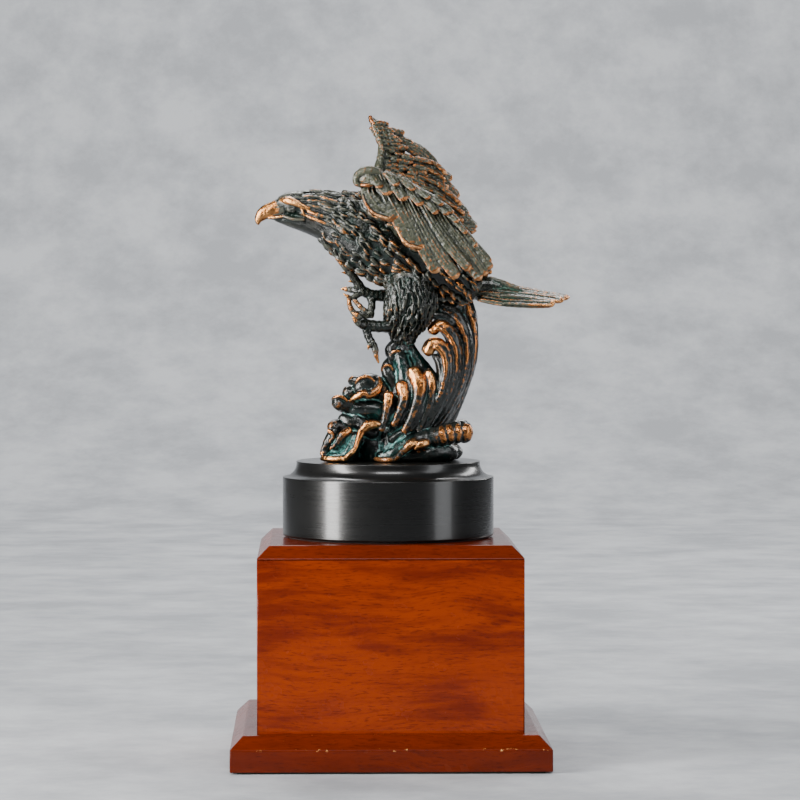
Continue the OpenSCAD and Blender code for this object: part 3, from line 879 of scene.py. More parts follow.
def makeLeftWing():
    bm = bmesh.new()
    wing = leftWing
    outward, tilt = wing["outward"], wing["tilt"]
    for part, sides, steps, worn in wing["runs"]:
        growRun(bm, wing[part], sides, steps, rub=worn)
    layRow(bm, wing["primaries"][::-1], (None, 1.25, outward, tilt, (0.44, 1.0, 0.99), 0.34),
        ((0, 2.6, 0), 1.1, outward, -tilt, (0.36, 0.8, 1.0), 0))
    layRow(bm, wing["scapulars"], (None, 1.5, outward, -0.14, (0.44, 0.8, 1.0), 0.3))
    layRow(bm, wing["coverts"][::-1], (None, 1.2, (-0.1, -1, 0.35), tilt, (0.44, 1.0, 0.97), 0.3))
    layRow(bm, wing["upperRow"][::-1], (None, 1.1, (-0.1, -1, 0.5), tilt, (0.44, 0.95, 0.97), 0.28))
    growRun(bm, wing["upperRim"], 10, 4, rub=fading(0.44, 0.92))
    growRun(bm, wing["lowerRim"], 10, 4, rub=0.95)
    piece = newPiece("nearWing", bm, wingBronze, "wing_bronze", "left_wing")
    fuse(piece, size=0.38, passes=1, gain=0.3, crust=0.24, grain=2.2)


rightWing = {
    "outward": (0.3, -1, 0.42), "tilt": -0.2,
    "edge": [(-9.9, 38.7, 200.9, 1.2), (-7.5, 36.8, 195.2, 1.7), (-4.7, 34.7, 188.3, 2),
        (-3, 32.7, 182.4, 2.3), (-3.7, 29.7, 176, 2.6), (-4.8, 26.5, 169.6, 3), (-3, 22, 162, 4),
        (2, 17, 150, 6), (14, 15, 138, 7), (24, 14, 126, 6)],
    "shoulder": [(3, 22.4, 152, 4.4, 3.6), (10, 22.6, 143, 6.2, 5), (18, 21.4, 134, 7.6, 5.6),
        (28, 19, 124, 5.6, 4.6)],
    "primaries": [
        (2.2, [(-8.6, 38.8, 200.2), (-4.3, 39, 197.6), (0.4, 40.4, 197.2)]),
        (2.5, [(-6.5, 36.9, 194.7), (1.5, 39.2, 193.7), (9.4, 41, 192.4)]),
        (2.6, [(-3.4, 35.9, 189.9), (4.6, 38.4, 189.5), (13.6, 40.6, 187)]),
        (3.1, [(0.4, 37.4, 190.5), (10.9, 39.5, 186.9), (21.5, 40.8, 181.7), (28.9, 40, 174.3)]),
        (3.2, [(7.8, 38.4, 186.9), (19.4, 39.1, 179.5), (28.9, 38.6, 171.1), (37.3, 39.2, 165.9)]),
        (3.3, [(9.8, 35.3, 178.3), (21.4, 36.5, 172.1), (33, 37, 164.2), (41.4, 36.1, 155.8)]),
        (3.4, [(11.9, 33.7, 173), (25.6, 34.6, 164.7), (37.1, 34.4, 155.2), (46.6, 33, 144.7)]),
        (3.3, [(15, 32.4, 167.7), (28.7, 32.9, 158.3), (41.3, 32.6, 147.8), (51.6, 31.6, 137.4)]),
        (3.1, [(16, 30.4, 162.4), (29.6, 30.4, 152), (41.2, 30.2, 142.5), (50.9, 30.2, 134.9)]),
        (2.7, [(15.9, 28.5, 158.2), (28.5, 27.7, 146.7), (39, 27.4, 137.7), (47.9, 26.9, 129.9)]),
        (2.4, [(14.8, 27, 155.5), (26.3, 26, 144.5), (36.8, 25.5, 135.1), (45.7, 24.8, 126.7)]),
    ],
    "secondaries": [
        (1.8, [(25.7, 38.9, 174.3), (29.9, 39.4, 172.2), (34.1, 39, 168)]),
        (1.8, [(29.8, 34.2, 160.5), (37.1, 34.4, 155.2), (42.9, 33.8, 149.4)]),
        (1.7, [(28.6, 31.3, 154.6), (37, 31.8, 149.4), (44.4, 32, 144.1)]),
        (1.6, [(27.5, 29.2, 150.9), (35.9, 29.6, 145.1), (43.8, 29.7, 139.4)]),
        (1.9, [(11.9, 35.1, 176.2), (18.3, 37.1, 175.8), (25.4, 38.7, 174)]),
        (1.8, [(9.7, 32, 170.9), (16, 33.2, 168.8), (22.4, 34.8, 167.6)]),
        (1.8, [(16.1, 34.7, 172), (21.4, 36, 171), (26.2, 36.6, 168.7)]),
        (1.6, [(23.5, 36.3, 170), (28.8, 36.9, 167.4), (33.6, 37.2, 164.2)]),
        (1.8, [(18.1, 32.5, 165.6), (26.6, 34.1, 162.6), (35.1, 35.5, 159.2)]),
        (1.7, [(18.1, 30.7, 161.4), (25.5, 31.6, 157.8), (33.1, 32.3, 153.6)]),
        (1.5, [(12.8, 31.2, 166.6), (17.1, 31.7, 164.6), (22.3, 31.5, 160.1)]),
        (1.4, [(9.7, 29.9, 166.1), (12.8, 30, 164), (17, 29.8, 160.3)]),
    ],
    "leading": [(-9.9, 38.7, 201.3), (-7.5, 36.8, 195.2), (-4.7, 34.7, 188.3), (-3.1, 32.7, 182.4),
        (-3.7, 29.7, 176), (-4.8, 26.5, 169.6), (1.7, 26.9, 165.5), (9.6, 28.2, 162.4)],
    "trailing": [(-8.8, 39.3, 201.9), (5.7, 41, 195.1), (15.2, 41, 188.6), (25.8, 41, 179.6),
        (33.1, 40.3, 171.7), (38.4, 39.5, 165.9), (46.7, 35.6, 150.5), (53.9, 32.2, 137.3)],
    "scaleRows": [(0.1, 15, 1.5, 5), (0.2, 14, 1.6, 5), (0.31, 13, 1.7, 5.5), (0.43, 11, 1.9, 6)],
}


def alongLine(line, t):
    part = min(max(t, 0), 0.9999) * (len(line) - 1)
    i = int(part)
    return Vector(line[i]).lerp(Vector(line[i + 1]), part - i)


def makeRightWing():
    bm = bmesh.new()
    wing = rightWing
    outward, tilt = Vector(wing["outward"]).normalized(), wing["tilt"]
    growRun(bm, wing["edge"], 14, 4, rub=fading(0.62, 0.36))
    growRun(bm, wing["shoulder"], 16, 4, rub=0.3)
    layRow(bm, wing["primaries"], (outward * -1.2, 1.15, outward, tilt, (0.38, 0.9, 0.98), 0.3),
        (outward * -3.0, 1.1, -outward, tilt, (0.42, 0.9, 1.0), 0.34))
    layRow(bm, wing["secondaries"], (outward * 0.6, 1.2, outward, tilt, (0.5, 1.1, 0.8), 0.3))
    for part, count, width, length in wing["scaleRows"][::-1]:
        for i in range(count):
            t = 0.08 + 0.84 * (i + rng.uniform(0.2, 0.8)) / count
            a, b = alongLine(wing["leading"], t), alongLine(wing["trailing"], t)
            flow = (b - a).normalized()
            spot = a.lerp(b, part) - flow * length * 0.5
            for face, drop in ((1, 0.6), (-1, -4.2)):
                place = leafPlace(at(*(spot + outward * drop)), (flow + outward * 0.16 * face).normalized(),
                    outward * face, width * rng.uniform(0.85, 1.2), length * rng.uniform(0.9, 1.3), 1.2)
                plant(bm, roundLeaf, place, 0.08 + rng.uniform(-0.1, 0.1))
    piece = newPiece("farWing", bm, wingBronze, "wing_bronze", "right_wing")
    fuse(piece, size=0.4, passes=1, gain=0.34, crust=0.36, grain=1.8)


# tail: seven feathers fanned over each other
tail = {"count": 3, "width": 4.2, "thick": 1.7}


def makeTail():
    bm = bmesh.new()
    growRun(bm, [(50, 0, 100.4, 7, 7.4), (57, 0, 101.2, 6.4, 6.2), (64, 0, 100.6, 7, 5)], 18, 4,
        rub=0.12)
    for i in range(-tail["count"], tail["count"] + 1):
        drop = i * i
        path = [(54, 2.1 * i, 101 - 0.75 * drop), (66, 3.4 * i, 100.8 - 0.95 * drop),
            (82, 4.8 * i, 98.2 - 0.75 * drop), (102.6 - 1.1 * drop, 5.7 * i, 95 - 0.42 * drop)]
        normal = (0.1, 0.3 * i, 1)
        layFeather(bm, path, tail["width"], tail["thick"], normal, 0, tipWearAndShading(0.40, 1.0, 0.97), 0.5)
        edge = 1 if i < 0 else -1
        rim = [(x, y - edge * 3.4, z - 1.0, 0.9) for x, y, z in path[1:]]
        growRun(bm, rim, 8, 5, rub=fading(0.3, 0.9, 0.2, 0.8))
    for side in (-1, 1):
        growRun(bm, [(60, 3 * side, 104.6, 2.4), (66, 4.6 * side, 103.0, 2.0), (75, 6.6 * side, 100.0, 1.5)],
            10, 4, rub=0.45)
    piece = newPiece("tailFan", bm, tailBronze, "figure_bronze", "tail")
    fuse(piece, size=0.36, passes=1, gain=0.36)


# feet: toes and talons as tapering runs, knuckles standing proud
feet = {
    "rightFoot": [
        (0.35, 0.9, [(-15.2, 3, 98.3, 3.4), (-18.4, 2, 104.1, 2.6), (-22.4, 0, 109.3, 2.3),
            (-26.2, -1.5, 113.7, 1.8), (-28.8, -2, 116, 1.1), (-30.4, -2, 117, 0.5)]),
        (0.5, 0.9, [(-22.1, 0, 108.8, 1.6), (-24.8, -1, 108.9, 0.9), (-26.8, -1.5, 109.2, 0.4)]),
        (0.5, 0.9, [(-18.6, 1.5, 104.1, 1.5), (-21, 0, 103.9, 0.9), (-23, -1, 104.1, 0.4)]),
        (0.2, 0.3, [(4, 6.6, 95.2, 4.2), (-2.7, 5, 95.7, 3.8), (-7, 4, 95.9, 3.3),
            (-10.9, 3.4, 96.8, 3.1), (-15.2, 3, 98.6, 3.4)]),
        (0.4, 0.95, [(-15.2, 3, 98.3, 3), (-20.4, 4.6, 99.1, 2.2), (-24.4, 5, 99.5, 1.5),
            (-27.1, 5, 99.6, 0.6)]),
        (0.4, 0.9, [(-15.2, 2, 97.7, 2.6), (-20.7, 1, 94.6, 1.4), (-23.6, 0, 95.4, 1.1),
            (-25.9, -0.5, 96.8, 0.5)]),
        (0.75, 0.4, [(-20.7, 1, 94.6, 1.3), (-17.5, 0.5, 90.8, 1.5), (-14, 0, 87.3, 1.7),
            (-10.4, 0, 84.7, 2)]),
        (0.85, 0.5, [(-22.7, 0.5, 93.7, 1.3), (-22.1, 0, 89.6, 1.6), (-20.1, 0, 85.9, 1.8),
            (-17.8, 0, 82.7, 1.6)]),
        (0.4, 0.5, [(-20.1, 0, 85.9, 1.7), (-14, 0, 84.4, 1.9), (-9.6, 0.4, 84.4, 2.0)]),
        (0.25, 0.3, [(-10.3, 3.4, 95.4, 3), (-9.3, 2, 91.4, 2.3), (-10.2, 0, 85.6, 2.4)]),
    ],
    "leftFoot": [
        (0.2, 0.3, [(4, -8.6, 79, 4.6), (-3.8, -9.4, 77.9, 3.6), (-8.4, -10, 78.2, 3.5),
            (-13, -10, 78.5, 3.6)]),
        (0.4, 0.9, [(-13, -10, 78.8, 3.2), (-16.2, -11, 82.5, 2.3), (-18.2, -11.6, 84.7, 1.7),
            (-20.8, -12, 85.8, 0.7)]),
        (0.4, 0.95, [(-13, -11, 78.5, 3), (-16.5, -14.5, 79.4, 2.2), (-19.1, -16, 81.4, 1.6),
            (-20.6, -16.5, 83.7, 0.6)]),
        (0.3, 0.8, [(-12.4, -10, 78.2, 3.2), (-12.1, -11, 73.6, 2.5), (-10.2, -12, 69.3, 2.4),
            (-7.9, -12.8, 65.5, 2.1), (-7.1, -13, 60.9, 1.4), (-5.8, -13, 56.9, 0.5)]),
        (0.5, 0.9, [(-9.6, -13, 68.4, 2.2), (-11.1, -14, 67, 1.4), (-11.9, -14, 65, 0.5)]),
    ],
}


def makeFoot(name, cadNode):
    bm = bmesh.new()
    for first, last, stations in feet[name]:
        # rings of scales round each toe
        knuckled = []
        for ring in easeRun(stations, 3):
            knuckled.append(tuple(ring[:3]) + (ring[3] * (1.0 + 0.06 * (-1) ** len(knuckled)),))
        growRun(bm, knuckled, 12, 2, rub=fading(first * 0.7, last * 0.9, 0.3, 1), blunt=0.8)
    piece = newPiece(name, bm, figureBronze, "figure_bronze", cadNode)
    fuse(piece, size=0.3, passes=1, gain=0.3)


# wave: strands, crests, scoops and a roll, each with how worn its start and end are
wave = {
    "core": [
        (0.3, 0.2, [(12, 0, 1, 15, 16), (18, 0, 9, 14, 13), (25, 0, 22, 11, 9), (32, 0, 38, 9.5, 6.5),
            (38, 0, 56, 9, 5.5), (40, 0, 72, 8.5, 5), (40, 0, 86, 8, 5.4), (40, 0, 94, 7, 5.6)]),
        (0.25, 0.2, [(8, -2, 78, 5, 4.4), (7.8, -2.4, 70, 5.6, 4.8), (8, -3, 62, 7, 6.4),
            (9.4, -3, 52, 9, 10), (9, -3, 40, 11, 12), (8, -3, 24, 13, 14), (6, -2, 4, 16, 18)]),
        (0.2, 0.2, [(10, -3, 69, 4), (13.8, -4, 61.5, 4.4), (19.4, -5, 53.4, 5.2), (24.4, -5, 44, 7)]),
        (0.2, 0.2, [(-6, 0, 4, 15, 12), (-12, -1, 14, 12, 10), (-14, -1.6, 25, 9.4, 8.4),
            (-14, -1.6, 34, 8, 7)]),
        (0.2, 0.2, [(-24, -6, 3, 9, 7), (-22, -5, 14, 7.4, 6), (-20.6, -4, 24, 7, 5.2),
            (-20, -4, 32, 6, 5)]),
        (0.2, 0.2, [(26, 0, 4, 13, 8), (34, 0, 5, 9, 6), (38, -2, 5, 6, 4.4)]),
    ],
    "spine": [
        (0.5, 0.35, [(20, 0, 7, 5), (31, 0, 19, 5), (39.4, 0, 36, 5), (46.4, 0, 57, 5),
            (47.6, 0, 73, 4.9), (46.4, 0, 85, 5), (43, 0, 95, 5)]),
    ],
    "sides": [
        (0.45, 0.3, [(16, -5, 8, 4.6), (27, -6.4, 20, 4.6), (36, -7, 35, 4.6), (42.6, -7.2, 52, 4.5),
            (44.4, -7.2, 68, 4.5), (41.6, -7, 79, 4.6), (35.4, -6.4, 86.6, 4.8), (29, -5, 90, 4.4)]),
        (0.45, 0.95, [(12, -8, 8, 4.2), (22, -10.6, 20, 4.2), (31, -12, 33, 4.2), (37.4, -12.6, 48, 4.1),
            (38.8, -12.8, 62, 4), (37, -12.8, 71.4, 3.9), (32.4, -12.8, 77.4, 3.6),
            (28.4, -13, 78.4, 3.4), (25.8, -13.4, 75.6, 3.1)]),
        (0.45, 1.0, [(9, -11, 8, 3.8), (18, -14, 19, 3.8), (26.4, -15.6, 31, 3.9), (32.6, -16.2, 44, 3.8),
            (34, -16.4, 56, 3.8), (32.6, -16.4, 63.6, 3.7), (28.8, -16.6, 68, 3.5),
            (25, -16.8, 67.4, 3.5), (23, -17, 63.8, 3.3)]),
        (0.4, 0.3, [(14, -13, 10, 3.2), (22, -16, 22, 3), (28.4, -17.2, 34, 2.7), (30.6, -17.6, 46, 2.4),
            (30, -17.4, 55, 2.2), (27.6, -16.8, 60.4, 1.7)]),
        (0.4, 0.3, [(20, -12, 84, 1.4), (25, -11.6, 84.4, 2.2), (31, -10.6, 83.4, 3), (36, -9.6, 80, 3.4)]),
    ],
    "ridges": [
        (0.6, 0.8, [(24, -7, 12, 1.2), (37.4, -5.4, 29, 1.8), (46.4, -4.2, 50, 1.9),
            (49.8, -3.8, 66, 1.9), (48.6, -3.8, 80, 1.6), (44.6, -4, 90, 1.2)]),
        (0.6, 0.8, [(19, -10.6, 12, 1.2), (31.6, -11, 26, 1.8), (41, -11, 44, 1.9), (44.6, -11, 60, 1.9),
            (43.4, -11, 73, 1.8), (38.4, -10.6, 82, 1.5), (32, -9.6, 87, 1.1)]),
        (0.6, 0.8, [(17, -13.8, 14, 1.2), (27, -15.6, 27, 1.6), (35, -16.2, 42, 1.8),
            (38.4, -16.4, 57, 1.8), (37, -16.6, 68, 1.6), (32.4, -16.2, 75, 1.5), (27.8, -15.8, 77, 1.6)]),
        (0.6, 0.8, [(15, -15.6, 15, 1.2), (23, -18, 27, 1.5), (29.8, -19.2, 40, 1.6),
            (32.6, -19.6, 53, 1.6), (31, -19.8, 62, 1.6), (27, -19.6, 66.6, 1.9)]),
        (0.5, 0.3, [(42, -3.4, 94, 1.4), (39, -7, 89, 1.8), (33, -8.6, 86.8, 1.9), (28, -8.4, 88, 1.5)]),
    ],
    "drops": [
        (0.98, 0.5, [(23, -15.4, 51.6, 2.5), (24.6, -17, 46, 2.9), (24, -18, 37, 2.8),
            (21.4, -18.6, 28, 2.2), (17, -18.4, 19, 2)]),
        (1.0, 0.5, [(14.6, -14.6, 51.4, 4.6), (17.6, -17.4, 45, 4.9), (16.8, -19.6, 36, 3.6),
            (13.6, -20.2, 27, 2.8), (9, -20, 18, 2)]),
        (1.0, 0.5, [(7.4, -15.4, 43.6, 4), (8.8, -18.2, 37.4, 3.6), (6.6, -20, 29.6, 2.6),
            (3, -20.4, 22, 2)]),
        (1.0, 0.5, [(0, -15.6, 38.2, 3.4), (-0.6, -18, 33, 3), (-2, -19.4, 26, 2.2), (-4, -19.8, 19, 1.8)]),
        (0.5, 0.3, [(11.8, -14, 47.5, 2.4), (12.4, -17, 40, 2.2), (10.2, -18.6, 32, 2), (7, -19, 24, 1.7)]),
        (0.5, 0.3, [(19.6, -15, 47, 2.4), (20.6, -18, 39, 2.2), (18, -19.4, 29, 2), (13, -19.4, 19, 1.7)]),
        (0.3, 0.2, [(2, -14, 36, 3), (1.6, -16.6, 29, 2.6), (-0.6, -17.4, 22, 2.2)]),
    ],
    "column": [
        (0.4, 0.36, [(3.6, -5.4, 67.6, 3.2), (0.8, -7, 64.2, 3.2), (2.6, -8.6, 60.2, 3)]),
        (0.4, 0.36, [(2.4, -6, 58, 3.8), (-0.9, -7.4, 53.8, 3.6), (0.4, -8.6, 49.4, 3.8),
            (3, -9, 44.6, 3.4)]),
        (0.6, 0.7, [(1.4, -9.8, 61.8, 0.9), (3.4, -10.6, 63.6, 1.1), (6.4, -10.4, 63.4, 1),
            (8.4, -9.6, 61.4, 0.7)]),
        (0.6, 0.7, [(-3, -9.6, 53.2, 0.9), (-1.6, -10.8, 55.4, 1.1), (1, -11, 55.2, 1),
            (2.4, -10.6, 52.8, 0.7)]),
        (0.15, 0.2, [(7, -9, 60, 4), (9, -10.4, 52, 4.4), (9.4, -11, 44, 4.6)]),
        (0.3, 0.2, [(4, -5, 71.4, 2.6), (8.6, -8.2, 71.6, 2.4), (13, -6, 70, 2.4)]),
    ],
    "leftCrest": [
        (0.3, 0.45, [(-17, -5, 29, 6), (-23, -8, 32.4, 5.2), (-27.8, -10, 34, 4.7), (-29, -11, 33.6, 4.2)]),
        (0.3, 0.42, [(-14, -3, 37, 6), (-20, -6, 39.4, 5), (-23, -7.4, 39.4, 4.4)]),
        (0.3, 0.4, [(-12, 3, 41, 6), (-17, 2, 45, 4.4), (-20.6, 0.6, 46.2, 3.2)]),
        (0.3, 0.42, [(-3, -6, 39, 6.6), (-8, -8.6, 43.4, 6.6), (-12.6, -9.4, 44.8, 6.2),
            (-16, -9.4, 42.4, 5)]),
        (0.6, 0.95, [(-5.6, -12.6, 48, 1.4), (-5, -14.8, 44.2, 1.9), (-7.6, -16, 40.6, 2.4),
            (-10.8, -16.4, 38.8, 2.5), (-14.6, -16, 39.4, 2.5), (-18.4, -15, 37.8, 2.1),
            (-21.6, -13.6, 35.4, 1.2)]),
        (0.6, 0.62, [(-19, -12.6, 45.4, 0.9), (-16.4, -14.2, 48.4, 1.1), (-11.6, -15, 49, 1.1),
            (-8.6, -14.4, 46.6, 0.9)]),
        (0.56, 0.6, [(-32.4, -11.4, 36, 0.8), (-30, -13.6, 37.6, 1.1), (-26.4, -14.4, 37.2, 1.1),
            (-24, -13.4, 35, 0.8)]),
        (0.16, 0.16, [(-20, -8, 30, 5), (-14, -9, 30, 5.4), (-8, -9.6, 30, 5.4), (-4, -10, 28, 5)]),
        (0.16, 0.2, [(-19, -9, 24, 5), (-14, -11.6, 20, 4.6), (-9, -12.6, 17, 4)]),
        (0.3, 0.3, [(-26, -8, 24.6, 3.6), (-22, -10, 23, 4), (-16, -11.4, 22.6, 3.4)]),
    ],
    "curl": [
        (0.3, 0.42, [(-24, -6, 17, 5.4), (-29.4, -9.6, 20, 4.6), (-31.8, -11.6, 19.6, 4.2)]),
        (0.45, 0.5, [(-31.6, -12.6, 17, 3.6), (-33.6, -13.6, 13.4, 3.2), (-35.4, -14.2, 10.6, 2.8)]),
        (0.45, 0.6, [(-35, -14.6, 11, 2.4), (-37, -15.4, 7.6, 2.2), (-37.6, -16.4, 4.6, 2)]),
        (0.6, 0.5, [(-34.4, -16.4, 18.2, 1.1), (-32, -17, 15, 1.3), (-33.6, -17.6, 12, 1)]),
        (0.2, 0.2, [(-30, -12, 4, 6), (-24, -12, 9, 6), (-19, -11, 13, 5)]),
    ],
    "scoops": [
        (0.96, 1.0, [(-38.2, -18, 2.2, 1.6), (-33, -23, 2, 1.7), (-25.4, -25.4, 2.4, 1.7)]),
        (0.98, 0.6, [(-25.4, -25.4, 2.4, 1.7), (-20.4, -25, 6.8, 1.6), (-17.8, -23, 12.6, 1.6),
            (-15.8, -21.4, 17.6, 2.4)]),
        (0.98, 0.9, [(-15.8, -21.4, 17.6, 2.2), (-11.6, -20.8, 21.4, 3.2), (-6.4, -19.8, 22.2, 2.2)]),
        (0.04, 0.0, [(-34, -17, 2.4, 3), (-26, -19.6, 3, 3.8), (-21.4, -19, 8.4, 3.8),
            (-18.8, -17, 14.4, 3.8)]),
        (0.5, 0.96, [(-33.4, -19.6, 8, 1), (-29.8, -20.8, 11.6, 1.3), (-26.8, -20.4, 15.8, 2.2),
            (-23, -18.4, 18.4, 2.2)]),
        (0.1, 0.15, [(-30.6, -16.6, 8.6, 2.6), (-27, -17, 13, 3.2), (-23.4, -15.4, 16.6, 3.4)]),
        (0.5, 1.0, [(-7.6, -19.6, 2, 1.3), (-2.4, -24.8, 1.7, 1.6), (3, -26.4, 2.4, 1.7),
            (8.2, -25.8, 6.6, 1.9), (11.4, -25, 9.8, 2.7), (14.2, -23.4, 11.8, 2.9)]),
        (0.04, 0.0, [(-5, -16.4, 3, 3), (2.4, -19, 4.6, 4), (7.4, -18.6, 8.4, 4.4), (12, -17.4, 12, 4.6)]),
        (1.0, 0.95, [(15.6, -23.4, 8.6, 2.4), (18.6, -24, 10.4, 3), (21.4, -22.8, 11.4, 2.4)]),
        (0.3, 0.2, [(2, -16, 13, 2.6), (8, -17, 17, 2.4), (14, -17.4, 20, 2.2), (22, -16, 24, 2.4)]),
        (0.2, 0.2, [(8, -13, 3, 8, 5), (22, -14, 5, 8, 6), (32, -11, 6, 6.6, 6), (36, -9, 5, 5, 5)]),
    ],
    "back": [
        (0.3, 0.3, [(-20, 10, 5, 9), (-4, 15, 8, 9), (14, 15, 9, 9), (30, 10, 7, 7)]),
        (0.3, 0.3, [(-16, 6, 20, 8), (0, 9, 26, 9), (12, 9, 32, 8)]),
    ],
    "rollLine": [(10, -17, 12.6, 3.2), (16, -18.6, 12.6, 4.4), (22, -18.4, 13.6, 5.2),
        (30, -17.6, 15.2, 5.9), (38, -16.2, 16.8, 6.3), (44.6, -15.0, 17.2, 6.2)],
    "ribPitch": 4.6,
    # the far side repeats the near one, moved and grown a little
    "farSide": [("sides", (0, 0, 0), 1), ("ridges", (0, 0, 0), 1), ("drops", (1.5, -1, -1.5), 1.05),
        ("leftCrest", (1.4, -2.4, -1.6), 1), ("curl", (2.4, -2, -2), 1), ("scoops", (2.2, 0.6, 0), 1)],
}


def waveRuns(bm, runs, side=-1, shift=(0, 0, 0), grow=1.0):
    for first, last, stations in runs:
        moved = [(x + shift[0], -side * y + shift[1], z + shift[2], *[r * grow for r in size])
            for x, y, z, *size in stations]
        start, end = (0.62, 0.95) if last > first else (0.05, 0.5)
        broad = max(station[3] for station in moved) > 6
        growRun(bm, moved, 32 if broad else 16, 5, rub=fading(first, last, start, end), blunt=0.85)


def rollRub(along, x, y):
    return 0.30 + 0.36 * smoothstep(0.3, 0.95, abs(x)) * smoothstep(0.4, 0.65, along)


def makeWave():
    bm = bmesh.new()
    for part in ("core", "spine", "back"):
        waveRuns(bm, wave[part])
    for part in ("sides", "ridges", "drops", "column", "leftCrest", "curl", "scoops"):
        waveRuns(bm, wave[part])
    for part, shift, grow in wave["farSide"]:
        waveRuns(bm, wave[part], 1, shift, grow)
    roll = easeRun(wave["rollLine"], 10)
    for side in (-1, 1):
        ribbed = []
        gone = 0.0
        for i, ring in enumerate(roll):
            gone += np.linalg.norm(ring[:3] - roll[i - 1][:3]) if i else 0
            swell = 0.90 + 0.14 * abs(math.sin(gone * math.pi / wave["ribPitch"])) ** 0.7
            ribbed.append((ring[0], -side * ring[1], ring[2], ring[3] * swell))
        growRun(bm, ribbed, 24, 1, (0.5, 0.8, 0), rub=rollRub, blunt=0.6)
    piece = newPiece("waveCasting", bm, waveBronze, "wave_bronze", "wave")
    fuse(piece, size=0.5, passes=2, gain=0.36, crust=0.26, grain=2.6)
    # flat on the round base
    trim = bmesh.new()
    trim.from_mesh(piece.data)
    cut = bmesh.ops.bisect_plane(trim, geom=trim.verts[:] + trim.edges[:] + trim.faces[:], dist=1e-6,
        plane_co=(0, 0, seat), plane_no=(0, 0, -1), clear_outer=True)
    bmesh.ops.holes_fill(trim, edges=[g for g in cut["geom_cut"] if isinstance(g, bmesh.types.BMEdge)])
    trim.to_mesh(piece.data)
    trim.free()


# pedestal: bevelled boards over and under four mitred panels
pedestal = {
    "boxWidth": 150, "panel": 12, "panelLow": 21, "panelHigh": 118, "boxTop": 126, "boardLow": 111,
    "tongueWidth": 125.6, "topBevel": 7, "plinthWidth": 180, "plinthLow": 1, "plinthBevel": 7.5,
    "arris": 0.6, "corner": 0.7, "boreRadius": 3.2,
    "screwPlace": 54, "screwRadius": 2.2, "headRadius": 4.2, "headDepth": 2.2,
}


def box(bm, low, high):
    size = Vector(high) - Vector(low)
    centre = (Vector(high) + Vector(low)) / 2
    place = Matrix.Translation(centre * mm) @ Matrix.Diagonal((*(size * mm), 1))
    return bmesh.ops.create_cube(bm, size=1, matrix=place)["verts"]


def bevelEdges(bm, edges, width, segments):
    return bmesh.ops.bevel(bm, geom=list(edges), offset=width * mm, segments=segments, profile=0.5,
        affect="EDGES", material=-1)


def flatFaces(piece, least=30):
    # broad faces stay flat, rounded edges shade smoothly
    for face in piece.data.polygons:
        face.use_smooth = face.area < least * mm * mm


def drill(piece, spots, low, high, lowRadius, highRadius):
    bm = bmesh.new()
    for x, y in spots:
        bmesh.ops.create_cone(bm, cap_ends=True, segments=40, radius1=lowRadius * mm, radius2=highRadius * mm,
            depth=(high - low) * mm, matrix=Matrix.Translation((x * mm, y * mm, (low + high) / 2 * mm)))
    cutter = bpy.data.objects.new("drill", takeMesh(bm, "drill"))
    bpy.context.scene.collection.objects.link(cutter)
    bore = piece.modifiers.new("bore", "BOOLEAN")
    bore.operation = "DIFFERENCE"
    bore.solver = "EXACT"
    bore.object = cutter
    bakeModifiers(piece)
    bpy.data.objects.remove(cutter)


def topEdges(bm, verts):
    high = max(v.co.z for v in verts)
    return [e for e in {e for v in verts for e in v.link_edges} if all(v.co.z > high - 1e-6 for v in e.verts)]


def makeBoard(name, cadNode, width, low, high, bevel, tongueLow=None):
    bm = bmesh.new()
    verts = box(bm, (-width / 2, -width / 2, low), (width / 2, width / 2, high))
    bevelEdges(bm, topEdges(bm, verts), bevel, 1)
    bevelEdges(bm, bm.edges, pedestal["arris"], 3)
    if tongueLow:
        under = [f for f in bm.faces if f.normal.z < -0.99]
        step = (width - pedestal["tongueWidth"]) / 2 - pedestal["arris"]
        bmesh.ops.inset_region(bm, faces=under, thickness=step * mm, use_even_offset=True)
        out = bmesh.ops.extrude_face_region(bm, geom=under)
        bmesh.ops.delete(bm, geom=under, context="FACES_ONLY")
        bmesh.ops.translate(bm, verts=picked(out, bmesh.types.BMVert), vec=(0, 0, (tongueLow - low) * mm))
    bmesh.ops.recalc_face_normals(bm, faces=bm.faces)
    return newPiece(name, bm, mouldingWood, "moulding_wood", cadNode)


def makePanel(name, cadNode, turn, material):
    # outline seen from above: a rounded outer corner at each end and a mitre behind it
    half, radius = pedestal["boxWidth"] / 2, pedestal["corner"]
    inner = half - pedestal["panel"]
    outline = [(-inner, -inner)]
    for k in range(4):
        angle = math.radians(225 + 15 * k)
        outline.append((radius - half + radius * math.cos(angle), radius - half + radius * math.sin(angle)))
    outline += [(-x, y) for x, y in outline[::-1]]
    bm = bmesh.new()
    base = [bm.verts.new((x * mm, y * mm, pedestal["panelLow"] * mm)) for x, y in outline]
    face = bm.faces.new(base)
    out = bmesh.ops.extrude_face_region(bm, geom=[face])
    rise = (pedestal["panelHigh"] - pedestal["panelLow"]) * mm
    bmesh.ops.translate(bm, verts=picked(out, bmesh.types.BMVert), vec=(0, 0, rise))
    bmesh.ops.rotate(bm, verts=bm.verts, cent=(0, 0, 0), matrix=Matrix.Rotation(math.radians(turn), 3, "Z"))
    bmesh.ops.recalc_face_normals(bm, faces=bm.faces)
    flatFaces(newPiece(name, bm, material, "panel_wood", cadNode))


